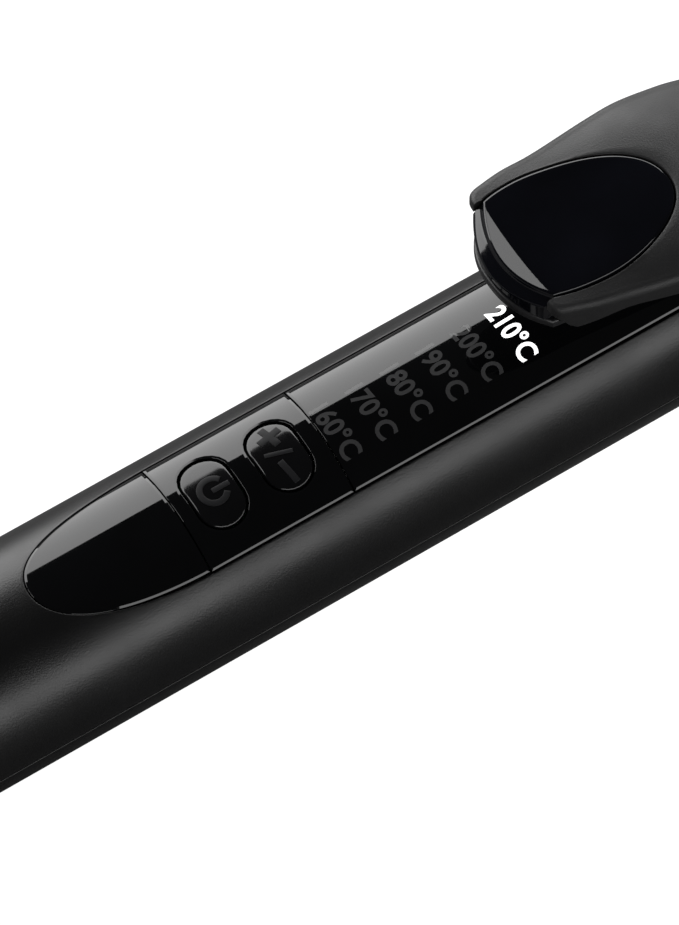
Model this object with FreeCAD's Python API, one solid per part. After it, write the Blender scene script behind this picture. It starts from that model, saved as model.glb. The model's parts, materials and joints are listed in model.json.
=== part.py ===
import FreeCAD, Part

import math
import os

# A curling tong lying on its folding stand. Lengths are in millimetres.
#
# Every piece is modelled in the tool frame: X runs along the handle axis from its rear face to the barrel
# tip, Z is the normal of the display panel and Y completes the frame. seat_on_table() then leans the whole
# tool on the stand, with the table at Z = 0 and the origin under the middle of its box.

# Handle
HANDLE_RADIUS = 16.0
HANDLE_LENGTH = 165.0
REAR_ROUND_LENGTH = 20.0
REAR_ROUND_DROP = 3.0
FRONT_ROUND = 1.5
UPPER_INNER_RADIUS = 13.2
LOWER_INNER_RADIUS = 13.6
REAR_WALL = 3.5
SEAM_HALF_GAP = 0.05
SEAM_GROOVE = 0.35
RIB_THICKNESS = 2.0

# Screws that close the shells, and the posts they bite into
POST_XS = (28.0, 90.0)
POST_RADIUS = 3.2
POST_TOP_Z = 6.0
POST_WEB = 1.6
SCREW_RADIUS = 1.25
SCREW_CLEARANCE = 0.2
SCREW_HEAD_RADIUS = 2.3
SCREW_HEAD_HEIGHT = 1.5
SCREW_HEAD_TOP_Z = -14.2
NECK_SCREW_X = 158.5
NECK_SCREW_TOP_Z = 8.0
SHELL_SCREW_XS = POST_XS + (NECK_SCREW_X,)

# Gloss panel let into the top of the handle
PANEL_HALF_WIDTH = 9.6
PANEL_FLOOR_RADIUS = 14.4
PANEL_GAP = 0.25
PLATE_INNER_RADIUS = 14.45
TRIM_TIP_X = 36.5
TRIM_SHOULDER_X = 62.5
SEAM_REAR_X = 60.5
SEAM_FRONT_X = 84.5
WINDOW_END_X = 150.0

# Buttons
OPENING_LENGTH = 12.6
OPENING_WIDTH = 8.0
BUTTON_LENGTH = 12.0
BUTTON_WIDTH = 7.4
BUTTON_UNDERSIDE_Z = 12.6
POWER_X = 66.7
ROCKER_X = 77.8
ROCKER_PIVOT_Z = 12.2
TRUNNION_RADIUS = 0.7
ROCKER_SWITCH_Y = 4.0
BUTTON_WEB_Z = 11.2
POWER_FLANGE_LENGTH = 9.2
POWER_FLANGE_Z = (10.8, 11.5)
CRADLE_HALF_WIDTH = 1.6

# Control board and display
BOARD_X = (52.0, 146.0)
BOARD_HALF_WIDTH = 9.4
BOARD_Z = (6.5, 8.1)
SWITCH_TOP_Z = 9.3
PLUNGER_TOP_Z = 9.8
LEGEND_FIRST_X = 86.8
LEGEND_PITCH = 6.0
LEGEND_COUNT = 6
LIGHT_WELL_Y = (-6.2, 4.2)
LIGHT_SLOT_EDGE = 0.8
LED_SIZE = (1.6, 3.2, 0.8)
BOARD_SCREW_XS = (56.0, 140.0)
BOARD_SCREW_Y = 6.5
BOARD_SCREW_RADIUS = 0.9

# Power electronics
TRIAC_X = (128.0, 138.0)
TRIAC_TAB_X = 124.0
TRIAC_HALF_WIDTH = 5.0
TRIAC_Z = (1.6, 5.0)
TRIAC_LEG_END_X = 141.0
TRIAC_LEG_Z = (3.0, 3.8)
TRIAC_LEG_YS = (-2.5, 0.0, 2.5)
CAPACITOR_X = (104.0, 120.0)
CAPACITOR_Y = (-6.0, 2.0)
CAPACITOR_Z = (-3.0, 5.2)
TERMINAL_X = (60.0, 70.0)
TERMINAL_HALF_WIDTH = 7.5
TERMINAL_BOTTOM_Z = -2.5
SUPPLY_LEAD_X = (12.5, 66.0)
SUPPLY_LEAD_RADIUS = 1.3
SUPPLY_LEAD_Y = 5.0
SUPPLY_LEAD_Z = 0.3
FUSE_X = (160.0, 171.0)
FUSE_RADIUS = 1.7
FUSE_Y = 3.6
HEATER_LEAD_START_X = 151.0
HEATER_LEAD_Y = -4.4
HEATER_LEAD_ZS = (-1.6, 1.6)

# Neck, barrel and tip
NECK_END_X = 196.0
NECK_HALF_WIDTH = 12.0
NECK_TOP_Z = 11.9
NECK_BOTTOM_Z = -13.0
NECK_ROUND_RADIUS = 14.5
NECK_COLLAR_X = 190.5
SPRING_POCKET_X = (169.5, 186.0)
SPRING_POCKET_HALF_WIDTH = 4.5
SPRING_POCKET_FLOOR_Z = 5.0
PLUG_START_X = 152.0
CABLE_BORE_RADIUS = 6.0
BARREL_RADIUS = 12.5
BARREL_WALL = 0.9
BARREL_END_X = 312.0
COLLAR_RING_LENGTH = 3.0
SLEEVE_X = (186.5, 210.0)
SLEEVE_WALL = 2.2
CORE_X = (222.0, 290.0)
CORE_JACKET = 1.3
CORE_WEB_Z = (1.2, 2.5)
ELEMENT_LENGTH = 20.0
ELEMENT_XS = (227.0, 247.5, 268.0)
ELEMENT_HALF_WIDTH = 5.0
THERMISTOR_X = 218.0
THERMISTOR_Y = 6.6
TIP_END_X = 338.0
TIP_NECK_LENGTH = 14.0
TIP_NOSE_ROUND = 9.0
TIP_BORE_RADIUS = 9.0

# Lever and clip
LEVER_PIVOT_X = 178.0
LEVER_PIVOT_Z = 9.0
PIN_RADIUS = 1.5
RUNNING_GAP = 0.05
LEVER_NOSE_X = 113.3
PAD_NOSE_X = 114.2
PAD_END_X = 143.6
PAD_HALF_WIDTH = 9.8
PAD_FLOOR_Z = 31.9
PAD_LIP_X = 118.2
PAD_GAP = 0.15
LEVER_START_X = 112.0
LEVER_TOP_LINE = [
    (LEVER_START_X, 35.6),
    (117.0, 37.0),
    (123.0, 36.4),
    (130.0, 35.3),
    (142.0, 34.3),
    (152.0, 31.6),
    (165.0, 25.5),
    (178.0, 19.8),
    (190.0, 16.8),
]
LEVER_NOSE_SOLE_Z = 32.0
LEVER_BEND_X = 143.0
LEVER_LINER_TOP_Z = 28.0
LEVER_TAIL_SOLE_X = 170.4
LEVER_TAIL_SOLE_Z = 13.8
LINER_THICKNESS = 1.4
LINER_INSET = 2.2
LINER_END_X = 157.0
CHEEK_INNER_Y = 12.4
CHEEK_OUTER_Y = 16.6
CHEEK_RADIUS = 7.3
CHEEK_REAR_X = 167.8
LEVER_END_X = 190.0
CLIP_INNER_RADIUS = 12.8
CLIP_THICKNESS = 0.8
CLIP_HALF_ANGLE = 55.0
CLIP_X = (198.0, 308.0)
CLIP_NOSE_RADIUS = 14.0
CLIP_WEB_X = 191.2
TANG_START_X = 174.0
TANG_HALF_WIDTH = 7.5
TANG_BOTTOM_Z = 13.0
RIVET_XS = (182.5, 187.0)
RIVET_RADIUS = 1.2
RIVET_HOLE_RADIUS = 1.25
RIVET_TOP_Z = 15.8

# Folding stand
STAND_PIVOT_X = 190.0
STAND_PIVOT_Z = -5.0
STAND_ARM_Y = (12.4, 13.9)
STAND_ARM_WIDTH = 7.0
STAND_STOP_X = (181.8, 185.1)
STAND_STOP_Z = (-11.5, -7.5)
STAND_PIN_START_Y = 11.0
STAND_PIN_HEAD_RADIUS = 2.4
STAND_PIN_HEAD_Y = (14.2, 15.0)
STAND_FOOT_X = 185.5
STAND_FOOT_LENGTH = 7.0
STAND_FOOT_HALF_WIDTH = 18.0
STAND_PLATE = 1.5
FOOT_PAD_HEIGHT = 1.0
REST_TILT_DEG = 6.0

# Cord swivel
SWIVEL_END_X = -22.0
SWIVEL_NECK_RADIUS = 8.5
SWIVEL_FLANGE_RADIUS = 10.6
CORD_BORE_RADIUS = 3.6
CORD_BORE_X = (SWIVEL_END_X, 9.0)
SWIVEL_CHAMBER_END_X = 8.0
GRIP_RING_XS = (-18.5, -15.9, -13.3)
GRIP_RING_WIDTH = 0.9
CONTACT_RING_XS = (7.2, 8.2)
CONTACT_RING_SIZE = (0.7, 0.5)
BRUSH_X = (7.2, 19.0)
BRUSH_Y = 7.25

# Further out than any piece reaches, for cutting tools
FAR = 40.0


def vec(x, y, z):
    return FreeCAD.Vector(x, y, z)


def rod_x(radius, x0, x1, y=0.0, z=0.0):
    return Part.makeCylinder(radius, x1 - x0, vec(x0, y, z), vec(1, 0, 0))


def rod_y(radius, y0, y1, x, z):
    return Part.makeCylinder(radius, y1 - y0, vec(x, y0, z), vec(0, 1, 0))


def rod_z(radius, z0, z1, x, y=0.0):
    return Part.makeCylinder(radius, z1 - z0, vec(x, y, z0), vec(0, 0, 1))


def block(x_span, y_span, z_span):
    corner = vec(x_span[0], y_span[0], z_span[0])
    return Part.makeBox(x_span[1] - x_span[0], y_span[1] - y_span[0], z_span[1] - z_span[0], corner)


def centred(middle, size):
    return (middle - size / 2, middle + size / 2)


def pipe_x(outer, inner, x0, x1):
    return rod_x(outer, x0, x1).cut(rod_x(inner, x0 - 1, x1 + 1))


def line(a, b):
    return Part.makeLine(vec(*a), vec(*b))


def arc(a, through, b):
    return Part.Arc(vec(*a), vec(*through), vec(*b)).toShape()


def bezier(*poles):
    curve = Part.BezierCurve()
    curve.setPoles([vec(*p) for p in poles])
    return curve.toShape()


def extrude(edges, direction):
    face = Part.Face(Part.Wire(Part.__sortEdges__(edges)))
    return face.extrude(vec(*direction))


def side_profile(points, y0, y1):
    """Extrude a closed polygon of (x, z) points from y0 to y1."""
    corners = [vec(x, y0, z) for x, z in points]
    return Part.Face(Part.makePolygon(corners + corners[:1])).extrude(vec(0, y1 - y0, 0))


def turned(points):
    """Revolve a closed polygon of (x, radius) points about the handle axis."""
    corners = [vec(x, 0, r) for x, r in points]
    face = Part.Face(Part.makePolygon(corners + corners[:1]))
    return face.revolve(vec(0, 0, 0), vec(1, 0, 0), 360)


def obround(x, length, width, z0, z1):
    """A rounded slot shape, long across the handle, standing from z0 to z1."""
    reach = (length - width) / 2
    shape = block(centred(x, width), (-reach, reach), (z0, z1))
    for y in (-reach, reach):
        shape = shape.fuse(rod_z(width / 2, z0, z1, x, y))
    return shape.removeSplitter()


def joined(shapes):
    return shapes[0].multiFuse(shapes[1:]).removeSplitter()


def group(solids):
    return Part.makeCompound(solids)


# Handle shells


def handle_body():
    """The outside of the handle, solid: a cylinder rounded in at the rear and eased at the front."""
    round_radius = rear_round_radius()
    middle_x = REAR_ROUND_LENGTH / 2
    middle_drop = round_radius - math.sqrt(round_radius**2 - (REAR_ROUND_LENGTH - middle_x) ** 2)
    rear_radius = HANDLE_RADIUS - REAR_ROUND_DROP
    edges = [
        line((0, 0, 0), (0, 0, rear_radius)),
        arc(
            (0, 0, rear_radius),
            (middle_x, 0, HANDLE_RADIUS - middle_drop),
            (REAR_ROUND_LENGTH, 0, HANDLE_RADIUS),
        ),
        line((REAR_ROUND_LENGTH, 0, HANDLE_RADIUS), (HANDLE_LENGTH - FRONT_ROUND, 0, HANDLE_RADIUS)),
        line(
            (HANDLE_LENGTH - FRONT_ROUND, 0, HANDLE_RADIUS),
            (HANDLE_LENGTH, 0, HANDLE_RADIUS - FRONT_ROUND),
        ),
        line((HANDLE_LENGTH, 0, HANDLE_RADIUS - FRONT_ROUND), (HANDLE_LENGTH, 0, 0)),
        line((HANDLE_LENGTH, 0, 0), (0, 0, 0)),
    ]
    face = Part.Face(Part.Wire(edges))
    return face.revolve(vec(0, 0, 0), vec(1, 0, 0), 360)


def rear_round_radius():
    return (REAR_ROUND_LENGTH**2 + REAR_ROUND_DROP**2) / (2 * REAR_ROUND_DROP)


def handle_cavity(inner_radius):
    """The hollow of the handle, with the chamber of the cord swivel behind a rib at the rear."""
    rib_x = SWIVEL_CHAMBER_END_X
    chamber = rod_x(SWIVEL_FLANGE_RADIUS + 0.3, REAR_WALL, rib_x)
    neck_hole = rod_x(SWIVEL_NECK_RADIUS + 2 * RUNNING_GAP, -1, REAR_WALL)
    wire_hole = rod_x(SWIVEL_FLANGE_RADIUS - 3, rib_x, rib_x + RIB_THICKNESS)
    taper = turned(
        [
            (rib_x + RIB_THICKNESS, 0),
            (rib_x + RIB_THICKNESS, inner_radius - 1.6),
            (REAR_ROUND_LENGTH, inner_radius),
            (HANDLE_LENGTH + 1, inner_radius),
            (HANDLE_LENGTH + 1, 0),
        ]
    )
    return joined([chamber, neck_hole, wire_hole, taper])


def half_space(upper):
    """The half of the handle above or below the seam plane, its outer edge eased to leave a fine groove."""
    reach = HANDLE_RADIUS + 4
    groove_y = HANDLE_RADIUS - SEAM_GROOVE
    profile = [
        (-groove_y, SEAM_HALF_GAP),
        (groove_y, SEAM_HALF_GAP),
        (reach, SEAM_HALF_GAP + reach - groove_y),
        (reach, reach),
        (-reach, reach),
        (-reach, SEAM_HALF_GAP + reach - groove_y),
    ]
    sign = 1 if upper else -1
    corners = [vec(-1, y, sign * z) for y, z in profile]
    face = Part.Face(Part.makePolygon(corners + corners[:1]))
    return face.extrude(vec(HANDLE_LENGTH + 2, 0, 0))


def panel_outline(grow, x_end, z0, z1):
    """The plan of the gloss panel: a pointed oval at the rear running into a straight-sided strip."""
    half = PANEL_HALF_WIDTH + grow
    tip = TRIM_TIP_X - grow
    sides = []
    for s in (1, -1):
        sides.append(
            bezier(
                (tip, 0, z0),
                (tip, s * 6.2, z0),
                (tip + 9.5, s * half, z0),
                (TRIM_SHOULDER_X, s * half, z0),
            )
        )
        sides.append(line((TRIM_SHOULDER_X, s * half, z0), (x_end, s * half, z0)))
    sides.append(line((x_end, -half, z0), (x_end, half, z0)))
    return extrude(sides, (0, 0, z1 - z0))


def screw_posts(z0, z1, hole_radius):
    """Posts on the centre line that take the shell screws."""
    posts = []
    for x in POST_XS:
        posts.append(rod_z(POST_RADIUS, z0, z1, x).cut(rod_z(hole_radius, z0 - 1, z1 + 1, x)))
    return posts


def make_upper_shell():
    shell = handle_body().common(half_space(True)).cut(handle_cavity(UPPER_INNER_RADIUS))
    pocket = panel_outline(PANEL_GAP, WINDOW_END_X + PANEL_GAP, 5, HANDLE_RADIUS + 2)
    shell = shell.cut(pocket.cut(rod_x(PANEL_FLOOR_RADIUS, 0, HANDLE_LENGTH)))
    for x in (POWER_X, ROCKER_X):
        shell = shell.cut(obround(x, OPENING_LENGTH, OPENING_WIDTH, 5, HANDLE_RADIUS))
    shell = shell.cut(light_slot(0.15, 5, HANDLE_RADIUS))
    parts = [shell] + screw_posts(SEAM_HALF_GAP, POST_TOP_Z, SCREW_RADIUS)
    for x in POST_XS:
        for side in (-1, 1):
            reach = sorted((side * (POST_RADIUS - 0.4), side * (UPPER_INNER_RADIUS + 0.5)))
            parts.append(block(centred(x, POST_WEB), reach, (2.0, POST_TOP_Z - 0.5)))
    shell = joined(parts)
    return shell.cut(rod_z(SCREW_RADIUS, -1, NECK_SCREW_TOP_Z, NECK_SCREW_X))


def light_slot(grow, z0, z1):
    last_x = LEGEND_FIRST_X + LEGEND_PITCH * (LEGEND_COUNT - 1)
    x_span = (LEGEND_FIRST_X - LEGEND_PITCH / 2 - grow, last_x + LEGEND_PITCH / 2 + grow)
    edge = LIGHT_SLOT_EDGE + grow
    y_span = (LIGHT_WELL_Y[0] - edge, LIGHT_WELL_Y[1] + edge)
    return block(x_span, y_span, (z0, z1))


def make_lower_shell():
    shell = handle_body().common(half_space(False)).cut(handle_cavity(LOWER_INNER_RADIUS))
    hole_radius = SCREW_RADIUS + SCREW_CLEARANCE
    recess_radius = SCREW_HEAD_RADIUS + SCREW_CLEARANCE
    shell = joined([shell] + screw_posts(SCREW_HEAD_TOP_Z + 0.1, -SEAM_HALF_GAP, hole_radius))
    for x in SHELL_SCREW_XS:
        shell = shell.cut(rod_z(hole_radius, -HANDLE_RADIUS - 1, 0, x))
        shell = shell.cut(rod_z(recess_radius, -HANDLE_RADIUS - 1, SCREW_HEAD_TOP_Z, x))
    return shell


def make_shell_screws():
    screws = []
    for x in SHELL_SCREW_XS:
        end_z = NECK_SCREW_TOP_Z if x == NECK_SCREW_X else POST_TOP_Z
        head = rod_z(SCREW_HEAD_RADIUS, SCREW_HEAD_TOP_Z - SCREW_HEAD_HEIGHT, SCREW_HEAD_TOP_Z, x)
        slot_z = (SCREW_HEAD_TOP_Z - SCREW_HEAD_HEIGHT - 0.5, SCREW_HEAD_TOP_Z - 0.7)
        head = head.cut(block(centred(x, 0.8), (-1.4, 1.4), slot_z))
        head = head.cut(block(centred(x, 2.8), (-0.4, 0.4), slot_z))
        screws.append(head.fuse(rod_z(SCREW_RADIUS, SCREW_HEAD_TOP_Z, end_z - 0.5, x)))
    return group(screws)


# Gloss panel


def panel_plate(x0, x1):
    """A curved plate of the panel between two seams."""
    ring = pipe_x(HANDLE_RADIUS, PLATE_INNER_RADIUS, x0, x1)
    return ring.common(panel_outline(0, WINDOW_END_X, 5, HANDLE_RADIUS + 2))


def make_rear_trim():
    return panel_plate(TRIM_TIP_X - 1, SEAM_REAR_X - PANEL_GAP / 2)


def make_button_bezel():
    plate = panel_plate(SEAM_REAR_X + PANEL_GAP / 2, SEAM_FRONT_X - PANEL_GAP / 2)
    for x in (POWER_X, ROCKER_X):
        plate = plate.cut(obround(x, OPENING_LENGTH, OPENING_WIDTH, 5, HANDLE_RADIUS + 2))
    return plate


def make_display_window():
    return panel_plate(SEAM_FRONT_X + PANEL_GAP / 2, WINDOW_END_X)


def button_cap(x):
    cap = obround(x, BUTTON_LENGTH, BUTTON_WIDTH, BUTTON_UNDERSIDE_Z, HANDLE_RADIUS + 2)
    return cap.common(rod_x(HANDLE_RADIUS, x - OPENING_WIDTH, x + OPENING_WIDTH))


def make_power_button():
    flange = block(centred(POWER_X, POWER_FLANGE_LENGTH), (-4, 4), POWER_FLANGE_Z)
    stem = rod_z(1.5, PLUNGER_TOP_Z + 0.6, BUTTON_UNDERSIDE_Z + 0.5, POWER_X)
    web = block(centred(POWER_X, 5.0), (-3.5, 3.5), (BUTTON_WEB_Z, BUTTON_UNDERSIDE_Z + 0.3))
    return joined([button_cap(POWER_X), flange, web, stem])


def make_temperature_rocker():
    web = block(centred(ROCKER_X, 6.0), (-2, 2), (BUTTON_WEB_Z, BUTTON_UNDERSIDE_Z + 0.3))
    trunnion = rod_x(TRUNNION_RADIUS, ROCKER_X - 4.6, ROCKER_X + 4.6, 0, ROCKER_PIVOT_Z)
    feet = []
    for y in (-ROCKER_SWITCH_Y, ROCKER_SWITCH_Y):
        feet.append(rod_z(1.0, PLUNGER_TOP_Z + 0.5, BUTTON_UNDERSIDE_Z + 0.5, ROCKER_X, y))
    return joined([button_cap(ROCKER_X), web, trunnion] + feet)


def make_rocker_cradle():
    y_span = (-CRADLE_HALF_WIDTH, CRADLE_HALF_WIDTH)
    base = block(centred(ROCKER_X, 10.0), y_span, (BOARD_Z[1], BOARD_Z[1] + 0.8))
    ears = [
        block(centred(ROCKER_X + side * 4.2, 1.2), y_span, (BOARD_Z[1], ROCKER_PIVOT_Z))
        for side in (-1, 1)
    ]
    cradle = joined([base] + ears)
    groove = TRUNNION_RADIUS + RUNNING_GAP
    return cradle.cut(rod_x(groove, ROCKER_X - 6, ROCKER_X + 6, 0, ROCKER_PIVOT_Z))


# Electronics


def make_control_board():
    board = block(BOARD_X, (-BOARD_HALF_WIDTH, BOARD_HALF_WIDTH), BOARD_Z)
    for x in BOARD_SCREW_XS:
        for y in (-BOARD_SCREW_Y, BOARD_SCREW_Y):
            board = board.cut(rod_z(BOARD_SCREW_RADIUS + 0.1, BOARD_Z[0] - 1, BOARD_Z[1] + 1, x, y))
    return board


def make_board_screws():
    screws = []
    for x in BOARD_SCREW_XS:
        for y in (-BOARD_SCREW_Y, BOARD_SCREW_Y):
            head = rod_z(1.7, BOARD_Z[0] - 1.2, BOARD_Z[0], x, y)
            screws.append(head.fuse(rod_z(BOARD_SCREW_RADIUS, BOARD_Z[0], BOARD_Z[1] + 2.0, x, y)))
    return group(screws)


def make_tact_switches():
    places = [(POWER_X, 0), (ROCKER_X, ROCKER_SWITCH_Y), (ROCKER_X, -ROCKER_SWITCH_Y)]
    switches = []
    for x, y in places:
        body = block(centred(x, 4.4), centred(y, 4.4), (BOARD_Z[1], SWITCH_TOP_Z))
        if y:
            inner = sorted((0, math.copysign(1.7, y)))
            body = body.cut(block(centred(x, 6.0), inner, (BOARD_Z[1], SWITCH_TOP_Z)))
        switches.append(body.fuse(rod_z(0.9, SWITCH_TOP_Z, PLUNGER_TOP_Z, x, y)))
    return group(switches)


def make_indicator_leds():
    length, width, height = LED_SIZE
    middle_y = sum(LIGHT_WELL_Y) / 2
    leds = []
    for i in range(LEGEND_COUNT):
        x = LEGEND_FIRST_X + LEGEND_PITCH * i
        z_span = (BOARD_Z[1], BOARD_Z[1] + height)
        leds.append(block(centred(x, length), centred(middle_y, width), z_span))
    return group(leds)


def make_light_guide():
    guide = light_slot(0, BOARD_Z[1] + 1.2, HANDLE_RADIUS)
    guide = guide.common(rod_x(PANEL_FLOOR_RADIUS, BOARD_X[0], BOARD_X[1]))
    for i in range(LEGEND_COUNT):
        x = LEGEND_FIRST_X + LEGEND_PITCH * i
        guide = guide.cut(block(centred(x, LEGEND_PITCH - 1.2), LIGHT_WELL_Y, (5, 12.0)))
    return guide


def make_triac():
    y_span = (-TRIAC_HALF_WIDTH, TRIAC_HALF_WIDTH)
    leg_bottom, leg_top = TRIAC_LEG_Z
    leg_width = leg_top - leg_bottom
    foot_x = (TRIAC_LEG_END_X - leg_width, TRIAC_LEG_END_X)
    parts = [
        block(TRIAC_X, y_span, TRIAC_Z),
        block((TRIAC_TAB_X, TRIAC_X[0]), y_span, (leg_top, TRIAC_Z[1])),
    ]
    for y in TRIAC_LEG_YS:
        parts.append(block((TRIAC_X[1], TRIAC_LEG_END_X), centred(y, leg_width), TRIAC_LEG_Z))
        parts.append(block(foot_x, centred(y, leg_width), (leg_bottom, BOARD_Z[0])))
    return joined(parts)


def make_film_capacitor():
    body = block(CAPACITOR_X, CAPACITOR_Y, CAPACITOR_Z)
    body = body.makeFillet(0.8, body.Edges)
    leg_xs = (CAPACITOR_X[0] + 2.5, CAPACITOR_X[1] - 2.5)
    leg_y = sum(CAPACITOR_Y) / 2
    legs = [rod_z(0.4, CAPACITOR_Z[1] - 0.7, BOARD_Z[0], x, leg_y) for x in leg_xs]
    return joined([body] + legs)


def make_terminal_block():
    start_x = TERMINAL_X[0]
    width = (-TERMINAL_HALF_WIDTH, TERMINAL_HALF_WIDTH)
    body = block(TERMINAL_X, width, (TERMINAL_BOTTOM_Z, BOARD_Z[0]))
    lead_hole = SUPPLY_LEAD_RADIUS + 0.2
    for y in (-SUPPLY_LEAD_Y, SUPPLY_LEAD_Y):
        body = body.cut(rod_x(lead_hole, start_x - 1, SUPPLY_LEAD_X[1] + 0.2, y, SUPPLY_LEAD_Z))
        body = body.cut(rod_z(1.2, TERMINAL_BOTTOM_Z - 0.5, TERMINAL_BOTTOM_Z + 2.0, start_x + 3.0, y))
    return body


def make_thermal_fuse():
    body = rod_x(FUSE_RADIUS, FUSE_X[0], FUSE_X[1], FUSE_Y, 0)
    leads = rod_x(0.4, FUSE_X[0] - 3, FUSE_X[1] + 3, FUSE_Y, 0)
    return joined([body, leads])


def make_supply_leads():
    """Two insulated wires from the swivel brushes to the terminal block, clear of the screw post."""
    sides = (-SUPPLY_LEAD_Y, SUPPLY_LEAD_Y)
    return group([rod_x(SUPPLY_LEAD_RADIUS, *SUPPLY_LEAD_X, y, SUPPLY_LEAD_Z) for y in sides])


# Neck and pivots


def make_neck_block():
    head = rod_x(NECK_ROUND_RADIUS, HANDLE_LENGTH + 0.2, NECK_COLLAR_X)
    slab_y = (-NECK_HALF_WIDTH, NECK_HALF_WIDTH)
    head = head.common(block((HANDLE_LENGTH, NECK_END_X), slab_y, (NECK_BOTTOM_Z, NECK_TOP_Z)))
    plug = rod_x(UPPER_INNER_RADIUS - 0.05, PLUG_START_X, HANDLE_LENGTH + 1)
    collar = rod_x(BARREL_RADIUS, NECK_COLLAR_X - 1, NECK_END_X)
    parts = [head, plug, collar.common(block((PLUG_START_X, NECK_END_X), slab_y, (-FAR, NECK_TOP_Z)))]
    for side in (-1, 1):
        stop_y = sorted((side * (NECK_HALF_WIDTH - 1), side * STAND_ARM_Y[1]))
        parts.append(block(STAND_STOP_X, stop_y, STAND_STOP_Z))
    neck = joined(parts)
    neck = neck.cut(rod_x(CABLE_BORE_RADIUS, PLUG_START_X - 1, NECK_END_X + 1))
    neck = neck.cut(rod_x(sleeve_radius() + 0.05, SLEEVE_X[0], NECK_END_X + 1))
    pocket_y = (-SPRING_POCKET_HALF_WIDTH, SPRING_POCKET_HALF_WIDTH)
    neck = neck.cut(block(SPRING_POCKET_X, pocket_y, (SPRING_POCKET_FLOOR_Z, NECK_TOP_Z + 1)))
    neck = neck.cut(rod_y(PIN_RADIUS, -FAR, FAR, LEVER_PIVOT_X, LEVER_PIVOT_Z))
    for y0, y1 in stub_spans(STAND_PIN_START_Y, FAR):
        neck = neck.cut(rod_y(PIN_RADIUS, y0, y1, STAND_PIVOT_X, STAND_PIVOT_Z))
    neck = neck.cut(rod_z(SCREW_RADIUS, NECK_BOTTOM_Z - 1, NECK_SCREW_TOP_Z, NECK_SCREW_X))
    return neck


def sleeve_radius():
    return BARREL_RADIUS - BARREL_WALL - 1.2


def stub_spans(near, far):
    """The same reach across the tool on its two sides."""
    return ((-far, -near), (near, far))


def make_lever_pivot_pin():
    return rod_y(PIN_RADIUS, -CHEEK_OUTER_Y + 0.2, CHEEK_OUTER_Y - 0.2, LEVER_PIVOT_X, LEVER_PIVOT_Z)


def make_stand_pivot_pins():
    pins = []
    pivot = (STAND_PIVOT_X, STAND_PIVOT_Z)
    stems = stub_spans(STAND_PIN_START_Y, STAND_PIN_HEAD_Y[0])
    heads = stub_spans(*STAND_PIN_HEAD_Y)
    for stem, head in zip(stems, heads):
        pins.append(rod_y(PIN_RADIUS, *stem, *pivot).fuse(rod_y(STAND_PIN_HEAD_RADIUS, *head, *pivot)))
    return group(pins)


def make_lever_spring():
    """Torsion spring round the pivot pin: a wound coil with one leg up to the lever and one in the neck."""
    mean_radius = 2.6
    wire = 0.4
    pitch = 1.2
    height = 6.0
    helix = Part.makeHelix(pitch, height, mean_radius)
    section = Part.Wire(Part.makeCircle(wire, vec(mean_radius, 0, 0), vec(0, 1, 0)))
    coil = Part.Wire(helix).makePipeShell([section], True, True)
    upper_leg = Part.makeCylinder(wire, 7.0, vec(mean_radius, 0, height), vec(0, 1, 0))
    lower_leg = Part.makeCylinder(wire, 4.3, vec(mean_radius, 0, 0), vec(0, -1, 0))
    spring = joined([coil, upper_leg, lower_leg])
    spring.rotate(vec(0, 0, 0), vec(1, 0, 0), 90)
    spring.rotate(vec(0, 0, 0), vec(0, 1, 0), 74)
    spring.translate(vec(LEVER_PIVOT_X, height / 2, LEVER_PIVOT_Z))
    return spring


# Barrel and heater


def make_barrel_tube():
    start_x = NECK_END_X + COLLAR_RING_LENGTH
    return pipe_x(BARREL_RADIUS, BARREL_RADIUS - BARREL_WALL, start_x, BARREL_END_X)


def make_collar_ring():
    return pipe_x(BARREL_RADIUS, sleeve_radius() + 0.05, NECK_END_X, NECK_END_X + COLLAR_RING_LENGTH)


def make_barrel_sleeve():
    inner = sleeve_radius() - SLEEVE_WALL
    narrow = pipe_x(sleeve_radius(), inner, SLEEVE_X[0], SLEEVE_X[1])
    shoulder_x = NECK_END_X + COLLAR_RING_LENGTH
    shoulder = pipe_x(BARREL_RADIUS - BARREL_WALL - 0.05, inner, shoulder_x, SLEEVE_X[1])
    return joined([narrow, shoulder])


def heater_core(side):
    """Half of the heater clamp: a half-round jacket against the barrel with a flat web on the elements."""
    outer = BARREL_RADIUS - BARREL_WALL - 0.1
    near, far = CORE_WEB_Z
    reach = sorted((side * near, side * FAR))
    half = pipe_x(outer, outer - CORE_JACKET, CORE_X[0], CORE_X[1])
    half = half.common(block(CORE_X, (-FAR, FAR), reach))
    web = block(CORE_X, (-outer + 0.6, outer - 0.6), sorted((side * near, side * far)))
    return joined([half, web.common(rod_x(outer, CORE_X[0], CORE_X[1]))])


def make_ptc_elements():
    y_span = (-ELEMENT_HALF_WIDTH, ELEMENT_HALF_WIDTH)
    z_span = (-CORE_WEB_Z[0], CORE_WEB_Z[0])
    return group([block((x, x + ELEMENT_LENGTH), y_span, z_span) for x in ELEMENT_XS])


def make_thermistor():
    bead = Part.makeSphere(1.1, vec(THERMISTOR_X, THERMISTOR_Y, 0))
    stem = rod_x(0.6, THERMISTOR_X - 9, THERMISTOR_X, THERMISTOR_Y, 0)
    return joined([bead, stem])


def make_heater_leads():
    """Two sleeved wires through the neck to the heater core."""
    x_span = (HEATER_LEAD_START_X, CORE_X[0] - 0.5)
    return group([rod_x(1.0, *x_span, HEATER_LEAD_Y, z) for z in HEATER_LEAD_ZS])


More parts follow.
